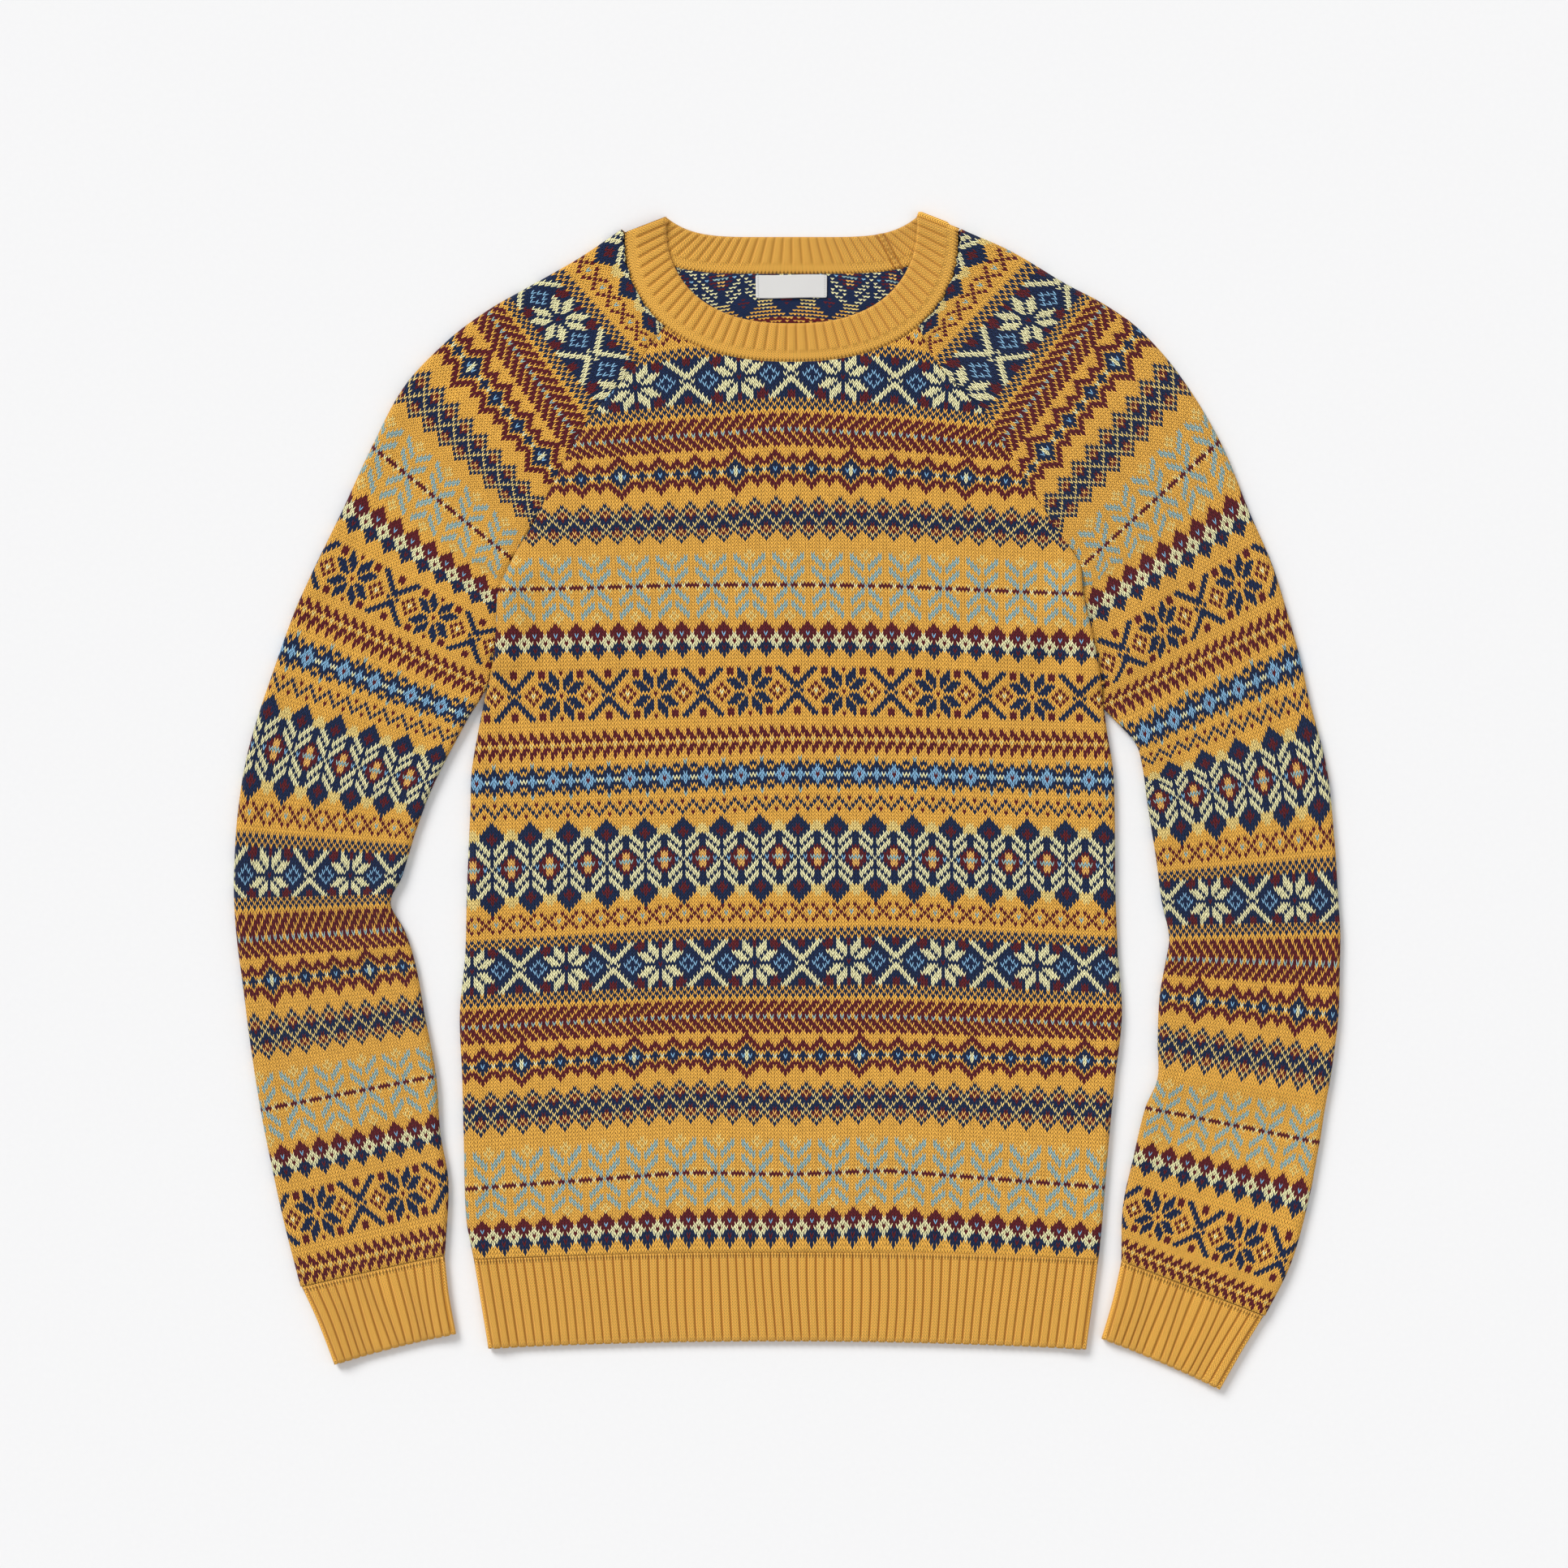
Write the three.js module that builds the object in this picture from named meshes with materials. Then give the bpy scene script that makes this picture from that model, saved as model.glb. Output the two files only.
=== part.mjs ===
// A knitted raglan jumper, laid flat on its back with both arms beside the body.
// Millimetres, +Z up. The origin is on the surface it lies on, in the middle of its outline;
// +Y points to the neck and +X to the viewer's right, looking down on the front.
// Every piece is a wall of knitted cloth with its own closed solid. The back panel and the back
// of each sleeve lie on the surface, the front panel and sleeve fronts lie on them, and the
// outline is a soft rolled fold that joins the two layers.
import * as THREE from 'three';

const { lerp, smoothstep, clamp, degToRad } = THREE.MathUtils;

// Cloth
const CLOTH = 2.2; // wall of the patterned knit
const LAYER_GAP = 0.5; // between the lower and the upper layer
const SEAM_GAP = 0.4; // between two pieces sewn edge to edge
const NECK_GAP = 0.8; // between the neckband and the pieces round it, along their curved seam
const LOWER_MID = CLOTH / 2; // height of the middle of the lower wall
const UPPER_MID = CLOTH * 1.5 + LAYER_GAP; // height of the middle of the upper wall

// Rolled folds along the outline
const FOLD_RADIUS = 3.2; // outer radius of the roll
const FOLD_ROLL = FOLD_RADIUS - CLOTH / 2; // radius of the middle of the rolled wall
const FOLD_RISE = FOLD_RADIUS + FOLD_ROLL - UPPER_MID; // how far the roll lifts the upper wall
const FOLD_REACH = 18; // distance over which that lift dies away
const SEAM_ANGLE = degToRad(5); // where a sewn edge stops short of the fold's side
const QUARTER_ROLL = [SEAM_ANGLE, degToRad(45), degToRad(90)];
const HALF_ROLL = [90, 45, 0, -45, -90].map(degToRad);

// Side fold of the front, which lies over the sleeve between the armpit and the seam's bend
const OVERLAP = { lift: 2.9, flat: 10, reach: 34, ramp: 16, tuck: 7, tuckInset: 17, clear: 0.9, turn: 24 };
const ARMPIT = { left: 72, right: 60 }; // height where the arm leaves the body
const SEAM_BEND = { left: 160, right: 154 }; // height where the raglan seam turns under the fold

// Outline of the front panel, a row for each height: its two edges, side folds at first and
// raglan seams above
const FRONT_OUTLINE = [
  { y: -293, left: -200.7, right: 199.2 },
  { y: -267, left: -205.4, right: 201.8 },
  { y: -215, left: -207, right: 206 },
  { y: -176, left: -208, right: 210 },
  { y: -137, left: -209.5, right: 214.2 },
  { y: -98, left: -206, right: 211.6 },
  { y: -59, left: -205, right: 210 },
  { y: -7, left: -202.8, right: 209.5 },
  { y: 19, left: -201.8, right: 208.5 },
  { y: 45, left: -197.5, right: 204.4 },
  { y: 72, left: -192, right: 201 },
  { y: 90, left: -188, right: 198.6 },
  { y: 109, left: -186.2, right: 194.6 },
  { y: 132, left: -185, right: 189.3 },
  { y: 150, left: -178, right: 187.6 },
  { y: 162, left: -172, right: 181 },
  { y: 175, left: -163.8, right: 171.6 },
  { y: 211, left: -145.6, right: 149 },
  { y: 232, left: -134.7, right: 136 },
  { y: 250, left: -122.2, right: 124.8 },
  { y: 273, left: -101.4, right: 101 },
  { y: 289, left: -89, right: 90.5 },
  { y: 303, left: -78.8, right: 84.2 },
];

// Outline of the back panel above the armpits, where its raglan seams run to the back neck
const BACK_SEAMS = [
  { y: 60, left: -194, right: 201.8 },
  { y: 72, left: -192, right: 199 },
  { y: 120, left: -182, right: 190 },
  { y: 175, left: -163, right: 170 },
  { y: 235, left: -130, right: 136 },
  { y: 290, left: -96, right: 101 },
  { y: 340, left: -67.3, right: 72.7 },
];

// Sleeves above the armpit, a row for each section: its point on the shoulder fold, and the
// heights where it meets the front seam and the back seam
const SHOULDERS = {
  left: [
    { outX: -105.7, outY: 365.7, frontY: 303, backY: 340 },
    { outX: -134, outY: 346.5, frontY: 290, backY: 322 },
    { outX: -166.4, outY: 328, frontY: 266, backY: 295 },
    { outX: -192.4, outY: 313, frontY: 231.5, backY: 262 },
    { outX: -217, outY: 294.5, frontY: 207, backY: 232 },
    { outX: -244.4, outY: 265.7, frontY: 182, backY: 202 },
    { outX: -266, outY: 225.7, frontY: 154, backY: 168 },
    { outX: -284, outY: 186.7, frontY: 121.7, backY: 132 },
    { outX: -301, outY: 152, frontY: 95, backY: 99 },
    { outX: -314, outY: 124, frontY: 72, backY: 72 },
  ],
  right: [
    { outX: 111.1, outY: 365.7, frontY: 303, backY: 340 },
    { outX: 143, outY: 351.5, frontY: 290, backY: 322 },
    { outX: 177.8, outY: 330.7, frontY: 262, backY: 293 },
    { outX: 203.8, outY: 316.7, frontY: 229.3, backY: 260 },
    { outX: 226.2, outY: 300.6, frontY: 206, backY: 230 },
    { outX: 250.6, outY: 272.5, frontY: 180, backY: 200 },
    { outX: 277.2, outY: 229.3, frontY: 148.7, backY: 165 },
    { outX: 295.4, outY: 185, frontY: 115, backY: 127 },
    { outX: 310.4, outY: 150.3, frontY: 82, backY: 88 },
    { outX: 321.4, outY: 115, frontY: 60, backY: 60 },
  ],
};

// Sleeves below the armpit, a row for each section: its point on the outer fold and its point
// on the inner fold, where the underarm seam runs
const ARMS = {
  left: [
    { outX: -324, outY: 96.7, inX: -203.8, inY: 53 },
    { outX: -344, outY: 35.4, inX: -226, inY: 10.4 },
    { outX: -351.5, outY: -7.3, inX: -237.6, inY: -19.8 },
    { outX: -354, outY: -48.4, inX: -246.5, inY: -48.9 },
    { outX: -353.6, outY: -70.7, inX: -253.8, inY: -66.6 },
    { outX: -352, outY: -90.5, inX: -244.9, inY: -83.2 },
    { outX: -348.4, outY: -117.5, inX: -237.6, inY: -106.1 },
    { outX: -344, outY: -153, inX: -232, inY: -137 },
    { outX: -337, outY: -198.6, inX: -224.6, inY: -176.8 },
    { outX: -329.7, outY: -235, inX: -222, inY: -212.7 },
    { outX: -322, outY: -270, inX: -216.8, inY: -245 },
    { outX: -311.5, outY: -311, inX: -219, inY: -290.7 },
  ],
  right: [
    { outX: 328.6, outY: 89, inX: 221.5, inY: 38.5 },
    { outX: 333.8, outY: 65.5, inX: 226.7, inY: 24 },
    { outX: 345.3, outY: 19.8, inX: 230.4, inY: -2 },
    { outX: 350, outY: -23, inX: 236, inY: -37.4 },
    { outX: 352.6, outY: -64.5, inX: 239.7, inY: -65.5 },
    { outX: 354, outY: -85.3, inX: 244.4, inY: -88 },
    { outX: 353.6, outY: -106, inX: 242.3, inY: -102 },
    { outX: 352.6, outY: -138.3, inX: 238.2, inY: -125.8 },
    { outX: 348.4, outY: -172.6, inX: 237, inY: -155.5 },
    { outX: 344, outY: -197, inX: 237, inY: -177.5 },
    { outX: 340.6, outY: -219.4, inX: 229, inY: -197 },
    { outX: 333.3, outY: -257, inX: 221.5, inY: -228.3 },
    { outX: 322.4, outY: -296, inX: 214.8, inY: -259.5 },
    { outX: 305.8, outY: -329.7, inX: 213.7, inY: -294.3 },
  ],
};

// Rib bands, a row for each line across them from the sewn edge to the free edge: the line's
// two ends, and how far its middle is bowed towards the sewn edge
const HEM_LINES = [
  { fromX: -200.7, fromY: -293.4, toX: 199.2, toY: -293.4, bow: 4.4 },
  { fromX: -191.4, fromY: -350, toX: 191.4, toY: -350.5, bow: 4.8 },
];
const CUFF_LINES = {
  left: [
    { fromX: -310.5, fromY: -311.6, toX: -219.2, toY: -291.4, bow: 0 },
    { fromX: -300.8, fromY: -332.6, toX: -216.6, toY: -315, bow: 0.4 },
    { fromX: -290, fromY: -360.4, toX: -212, toY: -340.6, bow: 0.8 },
  ],
  right: [
    { fromX: 213.7, fromY: -295, toX: 304.6, toY: -330.2, bow: 0 },
    { fromX: 208.2, fromY: -319.6, toX: 291.5, toY: -351.5, bow: 0.4 },
    { fromX: 201.2, fromY: -343.7, toX: 277.2, toY: -376.4, bow: 0.8 },
  ],
};
const RIB = { wall: 2.2, height: 0.7, crest: [0.28, 0.72] };
const HEM_RIBS = 69;
const CUFF_RIBS = 15;

// Neckband: a ring pressed flat, its front half a deep curve and its back half a shallow one
const NECK_MIDDLE = 2.7;
const NECK_SEAM = { halfWidth: 107.5, endY: 366, frontDepth: 85.5, frontPower: 2.35, backDrop: 29 };
const NECK_TOP = { halfWidth: 81.2, endY: 376.2, frontDepth: 71, frontPower: 2.4, backDrop: 15.5 };
const NECK_BACK_POWER = 5;
const NECKBAND = { wall: 1.9, ribHeight: 0.5, ribShare: 0.72, frontRibs: 43, backRibs: 32 };

// Label sewn inside the back neck
const LABEL = { width: 45.6, height: 14.8, thickness: 1, x: 2.6, y: 328.8 };

// Largest soft ridges of the upper layer: a line from one end to the other, the ridge's half
// width across it, and its height
const RIDGES = [
  { fromX: -172, fromY: 132, toX: -118, toY: 92, halfWidth: 22, height: 1.4 },
  { fromX: 178, fromY: 124, toX: 120, toY: 84, halfWidth: 22, height: 1.4 },
  { fromX: -60, fromY: 222, toX: 80, toY: 228, halfWidth: 26, height: 1 },
  { fromX: -120, fromY: -118, toX: 30, toY: -104, halfWidth: 24, height: 1.2 },
  { fromX: -322, fromY: -58, toX: -262, toY: -68, halfWidth: 16, height: 2 },
  { fromX: -314, fromY: -104, toX: -256, toY: -92, halfWidth: 14, height: 1.6 },
  { fromX: 262, fromY: -178, toX: 318, toY: -186, halfWidth: 15, height: 2 },
  { fromX: -232, fromY: 152, toX: -204, toY: 96, halfWidth: 18, height: 1.8 },
  { fromX: 236, fromY: 140, toX: 216, toY: 78, halfWidth: 18, height: 1.8 },
];

// Mesh divisions
const BODY_ROWS = 14; // of a panel below the armpits
const SEAM_ROWS = 14; // of a panel and a sleeve along the raglan seams
const ARM_ROWS = 17; // of a sleeve below the armpit
const SIDE_COLUMNS = [OVERLAP.flat, 18, 26, OVERLAP.reach]; // distances in from a side edge
const PANEL_COLUMNS = 8; // across the middle of a panel
const SLEEVE_FRONT_COLUMNS = 6;
const SLEEVE_BACK_COLUMNS = 5;
const BAND_BACK_COLUMNS = 12; // across the plain half of a rib band that rests on the surface

const UP = new THREE.Vector3(0, 0, 1);

/** A material of knitted yarn. */
function yarn(color) {
  return new THREE.MeshStandardMaterial({ color, roughness: 0.95, metalness: 0 });
}

const PATTERNED = yarn(0xc99a45);
const MUSTARD = yarn(0xdca23a);
const WOVEN_LABEL = yarn(0xf1efe9);

/** Value of a table's column at a height or section number, on a smooth curve through its rows. */
function smoothAt(rows, key, column, at) {
  const rising = rows[rows.length - 1][key] > rows[0][key];
  let low = 0;
  while (low < rows.length - 2 && (rising ? rows[low + 1][key] < at : rows[low + 1][key] > at)) low += 1;
  const slope = (i) => {
    const before = rows[Math.max(i - 1, 0)];
    const after = rows[Math.min(i + 1, rows.length - 1)];
    return (after[column] - before[column]) / (after[key] - before[key]);
  };
  const [a, b] = [rows[low], rows[low + 1]];
  const span = b[key] - a[key];
  const s = clamp((at - a[key]) / span, 0, 1);
  const bend = s * s * (3 - 2 * s);
  const ends = s * (1 - s) * span;
  return lerp(a[column], b[column], bend) + ends * ((1 - s) * slope(low) - s * slope(low + 1));
}

/** 1 between two heights and 0 outside them, with a soft ramp inside each end. */
function between(y, low, high, ramp) {
  return smoothstep(y, low, low + ramp) * (1 - smoothstep(y, high - ramp, high));
}

/** Lift of the upper layer by the soft ridges that pass near a point. */
function ridgeLift(x, y) {
  let lift = 0;
  for (const ridge of RIDGES) {
    const alongX = ridge.toX - ridge.fromX;
    const alongY = ridge.toY - ridge.fromY;
    const t = ((x - ridge.fromX) * alongX + (y - ridge.fromY) * alongY) / (alongX ** 2 + alongY ** 2);
    const s = clamp(t, 0, 1);
    const away = Math.hypot(x - ridge.fromX - s * alongX, y - ridge.fromY - s * alongY);
    lift += ridge.height * (1 - smoothstep(away, 0, ridge.halfWidth));
  }
  return lift;
}

/** Lift of the upper wall near a rolled fold, by the distance from the roll's centre line. */
function foldLift(distance) {
  return FOLD_RISE * (1 - smoothstep(distance, 0, FOLD_REACH));
}

/** A place in the middle of a wall, with the direction its outer face looks. */
function wallPoint(x, y, z, normal) {
  return { at: new THREE.Vector3(x, y, z), normal: normal.clone() };
}

/** A place on a roll: centre in plan, outward direction, and the angle above the horizontal. */
function rollPoint(centre, outward, angle) {
  const flat = new THREE.Vector3(outward.x, outward.y, 0);
  const normal = flat.multiplyScalar(Math.cos(angle)).addScaledVector(UP, Math.sin(angle));
  const at = new THREE.Vector3(centre.x, centre.y, FOLD_RADIUS).addScaledVector(normal, FOLD_ROLL);
  return { at, normal };
}

/** A place between two others, with its direction turned in step. */
function mixPoints(a, b, share) {
  return { at: a.at.clone().lerp(b.at, share), normal: a.normal.clone().lerp(b.normal, share).normalize() };
}

/**
 * A closed wall from a grid of places in its middle. Each place may say how thick the wall is
 * on its outer and inner side. A ring's columns close on themselves.
 */
function wallGeometry(grid, isRing = false) {
  const rows = grid.length;
  const columns = grid[0].length;
  const positions = [];
  for (const side of ['outer', 'inner']) {
    const sign = side === 'outer' ? 1 : -1;
    for (const row of grid) {
      for (const place of row) {
        const depth = place[side] ?? CLOTH / 2;
        positions.push(...place.at.clone().addScaledVector(place.normal, sign * depth).toArray());
      }
    }
  }
  const outer = (i, j) => i * columns + (j % columns);
  const inner = (i, j) => rows * columns + outer(i, j);
  const triangles = [];
  const quad = (a, b, c, d) => triangles.push(a, b, c, a, c, d);
  const lastColumn = isRing ? columns : columns - 1;
  for (let j = 0; j < lastColumn; j += 1) {
    for (let i = 0; i < rows - 1; i += 1) {
      quad(outer(i, j), outer(i, j + 1), outer(i + 1, j + 1), outer(i + 1, j));
      quad(inner(i, j), inner(i + 1, j), inner(i + 1, j + 1), inner(i, j + 1));
    }
    quad(outer(0, j + 1), outer(0, j), inner(0, j), inner(0, j + 1));
    quad(outer(rows - 1, j), outer(rows - 1, j + 1), inner(rows - 1, j + 1), inner(rows - 1, j));
  }
  if (!isRing) {
    for (let i = 0; i < rows - 1; i += 1) {
      quad(outer(i, 0), outer(i + 1, 0), inner(i + 1, 0), inner(i, 0));
      quad(outer(i + 1, columns - 1), outer(i, columns - 1), inner(i, columns - 1), inner(i + 1, columns - 1));
    }
  }
  const geometry = new THREE.BufferGeometry();
  geometry.setAttribute('position', new THREE.Float32BufferAttribute(positions, 3));
  geometry.setIndex(facingOut(positions, triangles));
  geometry.computeVertexNormals();
  return geometry;
}

/** The triangles, turned round if the volume that they enclose comes out negative. */
function facingOut(positions, triangles) {
  const corner = (i) => new THREE.Vector3().fromArray(positions, 3 * i);
  let volume = 0;
  for (let i = 0; i < triangles.length; i += 3) {
    const [a, b, c] = [corner(triangles[i]), corner(triangles[i + 1]), corner(triangles[i + 2])];
    volume += a.dot(b.cross(c));
  }
  if (volume > 0) return triangles;
  const turned = [];
  for (let i = 0; i < triangles.length; i += 3) turned.push(triangles[i], triangles[i + 2], triangles[i + 1]);
  return turned;
}

/** Height of the front half of a neckband edge at x, or of the same curve grown outwards. */
function neckFrontY(edge, x, grow = 0) {
  const across = clamp(Math.abs(x - NECK_MIDDLE) / (edge.halfWidth + grow), 0, 1);
  const drop = (1 - across ** edge.frontPower) ** (1 / edge.frontPower);
  return edge.endY - (edge.frontDepth + grow) * drop;
}

/** Distance of the front half of a neckband edge from the neck's middle, at a height. */
function neckFrontReach(edge, y, grow = 0) {
  const down = clamp((edge.endY - y) / (edge.frontDepth + grow), 0, 1);
  return (edge.halfWidth + grow) * (1 - down ** edge.frontPower) ** (1 / edge.frontPower);
}

/** Height of the back half of a neckband edge at x. */
function neckBackY(edge, x) {
  const across = clamp(Math.abs(x - NECK_MIDDLE) / edge.halfWidth, 0, 1);
  return edge.endY - edge.backDrop * (1 - across ** NECK_BACK_POWER);
}

/** Distances of a panel's columns across a row of the given width. */
function panelColumns(width) {
  const inset = SIDE_COLUMNS[SIDE_COLUMNS.length - 1];
  const columns = [...SIDE_COLUMNS];
  for (let i = 1; i < PANEL_COLUMNS; i += 1) columns.push(lerp(inset, width - inset, i / PANEL_COLUMNS));
  for (const distance of [...SIDE_COLUMNS].reverse()) columns.push(width - distance);
  return columns;
}

/** How far the front's side edge rolls down at a height: fully below the seam's bend. */
function frontRoll(side, y) {
  return 1 - smoothstep(y, SEAM_BEND[side] - 8, SEAM_BEND[side] + 14);
}

/** How far the back's side edge rolls up at a height: fully until just below the armpit. */
function backRoll(side, y) {
  return 1 - smoothstep(y, ARMPIT[side] - 24, ARMPIT[side] - 6);
}

/** How far the front lies over the sleeve at a height, as a share of the full overlap. */
function overlapShare(side, y) {
  return between(y, ARMPIT[side] + 2, SEAM_BEND[side], OVERLAP.ramp);
}

/** Height of a raglan seam row, by its share of the way from the armpit to the neck. */
function seamHeight(side, column, share) {
  const rows = SHOULDERS[side].map((row, section) => ({ ...row, section }));
  return smoothAt(rows, 'section', column, (rows.length - 1) * (1 - share));
}

/** Rows of a panel: the height of each at its left and right edge, and its share of the seam. */
function panelRows(column) {
  const hemY = FRONT_OUTLINE[0].y;
  const rows = [];
  for (let i = 0; i < BODY_ROWS; i += 1) {
    const share = i / BODY_ROWS;
    rows.push({ left: lerp(hemY, ARMPIT.left, share), right: lerp(hemY, ARMPIT.right, share), up: 0 });
  }
  for (let i = 0; i <= SEAM_ROWS; i += 1) {
    const up = i / SEAM_ROWS;
    rows.push({ left: seamHeight('left', column, up), right: seamHeight('right', column, up), up });
  }
  return rows;
}

/** Rest height of the middle of the front's wall at distances from its two edges. */
function frontHeight(place, row) {
  let z = UPPER_MID + ridgeLift(place.x, place.y);
  for (const side of ['left', 'right']) {
    z += foldLift(place[side] - FOLD_RADIUS) * frontRoll(side, row[side]);
    const spread = 1 - smoothstep(place[side], OVERLAP.flat, OVERLAP.reach);
    z += OVERLAP.lift * overlapShare(side, row[side]) * spread;
  }
  return z;
}

// The two panels: their edges, where their rows meet the seams, and how they roll and lie
const FRONT_PANEL = {
  seamColumn: 'frontY',
  edgeX: (side, y) => smoothAt(FRONT_OUTLINE, 'y', side, y),
  neckY: (x) => neckFrontY(NECK_SEAM, x, NECK_GAP),
  roll: frontRoll,
  facing: 1,
  height: frontHeight,
  edgeLift: (side, y) => OVERLAP.lift * overlapShare(side, y),
};
const BACK_PANEL = {
  seamColumn: 'backY',
  edgeX: (side, y) => smoothAt(y < ARMPIT[side] ? FRONT_OUTLINE : BACK_SEAMS, 'y', side, y),
  neckY: (x) => neckBackY(NECK_SEAM, x) - NECK_GAP,
  roll: backRoll,
  facing: -1,
  height: () => LOWER_MID,
  edgeLift: () => 0,
};

/** A body panel from the hem rib to the neckband, between its side folds and raglan seams. */
function panel(kind) {
  const rows = panelRows(kind.seamColumn);
  const top = rows[rows.length - 1];
  const topLeft = kind.edgeX('left', top.left);
  const topRight = kind.edgeX('right', top.right);
  const normal = UP.clone().multiplyScalar(kind.facing);
  const grid = rows.map((row) => {
    const left = kind.edgeX('left', row.left);
    const right = kind.edgeX('right', row.right);
    const neckShare = smoothstep(row.up, 0.5, 1);
    const rowY = (across) => {
      const arch = HEM_LINES[0].bow * 4 * across * (1 - across);
      const toNeck = kind.neckY(lerp(topLeft, topRight, across)) - lerp(top.left, top.right, across) - arch;
      return lerp(row.left, row.right, across) + arch + toNeck * neckShare;
    };
    const flat = (x) => {
      const y = rowY((x - left) / (right - left));
      const z = kind.height({ x, y, left: x - left, right: right - x }, row);
      return wallPoint(x, y, z, normal);
    };
    const edge = (side, x, outward) => QUARTER_ROLL.map((angle, k) => {
      const flatX = x - outward * (k / (QUARTER_ROLL.length - 1)) * FOLD_RADIUS;
      const lying = flat(flatX);
      const centre = { x: x - outward * FOLD_RADIUS, y: lying.at.y };
      const rolled = rollPoint(centre, { x: outward, y: 0 }, kind.facing * angle);
      rolled.at.z += kind.edgeLift(side, row[side]);
      return mixPoints(lying, rolled, kind.roll(side, row[side]));
    });
    return [
      ...edge('left', left, -1),
      ...panelColumns(right - left).map((distance) => flat(left + distance)),
      ...edge('right', right, 1).reverse(),
    ];
  });
  return wallGeometry(grid);
}

/** Rows of a sleeve from the neck to the cuff: its section number, and its points in plan. */
function sleeveRows(side) {
  const outward = side === 'left' ? -1 : 1;
  const shoulder = SHOULDERS[side].map((row, section) => ({ ...row, section }));
  const armpitX = FRONT_PANEL.edgeX(side, ARMPIT[side]) + outward * SEAM_GAP;
  const lastShoulder = shoulder[shoulder.length - 1];
  const arm = [{ ...lastShoulder, inX: armpitX, inY: ARMPIT[side] }, ...ARMS[side]]
    .map((row, i) => ({ ...row, section: lastShoulder.section + i }));
  const rows = [];
  for (let i = SEAM_ROWS; i > 0; i -= 1) {
    const section = lastShoulder.section * (1 - i / SEAM_ROWS);
    const frontY = seamHeight(side, 'frontY', i / SEAM_ROWS);
    const backY = seamHeight(side, 'backY', i / SEAM_ROWS);
    const tuck = OVERLAP.tuck * between(
      frontY, ARMPIT[side] + OVERLAP.tuckInset, SEAM_BEND[side] - OVERLAP.tuckInset, OVERLAP.ramp / 2,
    );
    const clear = OVERLAP.clear * between(
      frontY, SEAM_BEND[side] - OVERLAP.turn, SEAM_BEND[side] + OVERLAP.turn, OVERLAP.turn / 2,
    );
    rows.push({
      section,
      out: pointAt([...shoulder, ...arm.slice(1)], 'out', section),
      front: new THREE.Vector2(FRONT_PANEL.edgeX(side, frontY) + outward * (SEAM_GAP + clear - tuck), frontY),
      back: new THREE.Vector2(smoothAt(BACK_SEAMS, 'y', side, backY) + outward * SEAM_GAP, backY),
      roll: 0,
    });
  }
  for (let i = 0; i <= ARM_ROWS; i += 1) {
    const section = lastShoulder.section + (i / ARM_ROWS) * (arm.length - 1);
    const inner = pointAt(arm, 'in', section);
    const roll = smoothstep(section, lastShoulder.section, lastShoulder.section + 1);
    rows.push({ section, out: pointAt([...shoulder, ...arm.slice(1)], 'out', section), front: inner, back: inner, roll });
  }
  return rows;
}

/** A point in plan from the X and Y columns of a table, at a section number. */
function pointAt(rows, name, section) {
  const [x, y] = [`${name}X`, `${name}Y`].map((column) => smoothAt(rows, 'section', column, section));
  return new THREE.Vector2(x, y);
}

/** The neckband's corner on a shoulder fold: its place, and the way its roll looks. */
function neckCorner(side) {
  const [end, near] = side === 'left' ? [0, 0.04] : [1, 0.96];
  const front = new NeckEdge(NECK_SEAM, true);
  const back = new NeckEdge(NECK_SEAM, false);
  const at = front.getPointAt(end);
  const way = at.clone().sub(front.getPointAt(near)).add(at).sub(back.getPointAt(near)).normalize();
  return { at, way };
}

/** How far the neckband's curve bends a point of a sleeve's first row away from a straight line. */
function neckBend(straight, corner, isFront) {
  const outward = Math.sign(straight.x - NECK_MIDDLE);
  if (isFront) {
    const reach = neckFrontReach(NECK_SEAM, straight.y, NECK_GAP);
    return new THREE.Vector2(NECK_MIDDLE + outward * reach - straight.x, 0);
  }
  const fromCorner = Math.abs(straight.x - corner.at.x) / (2 * NECK_SEAM.halfWidth);
  const drawn = FOLD_RADIUS * drawIn(fromCorner);
  const curveY = neckBackY(NECK_SEAM, straight.x + drawn * corner.way.x) - drawn * corner.way.y;
  return new THREE.Vector2(0, curveY - NECK_GAP - straight.y);
}

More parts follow.
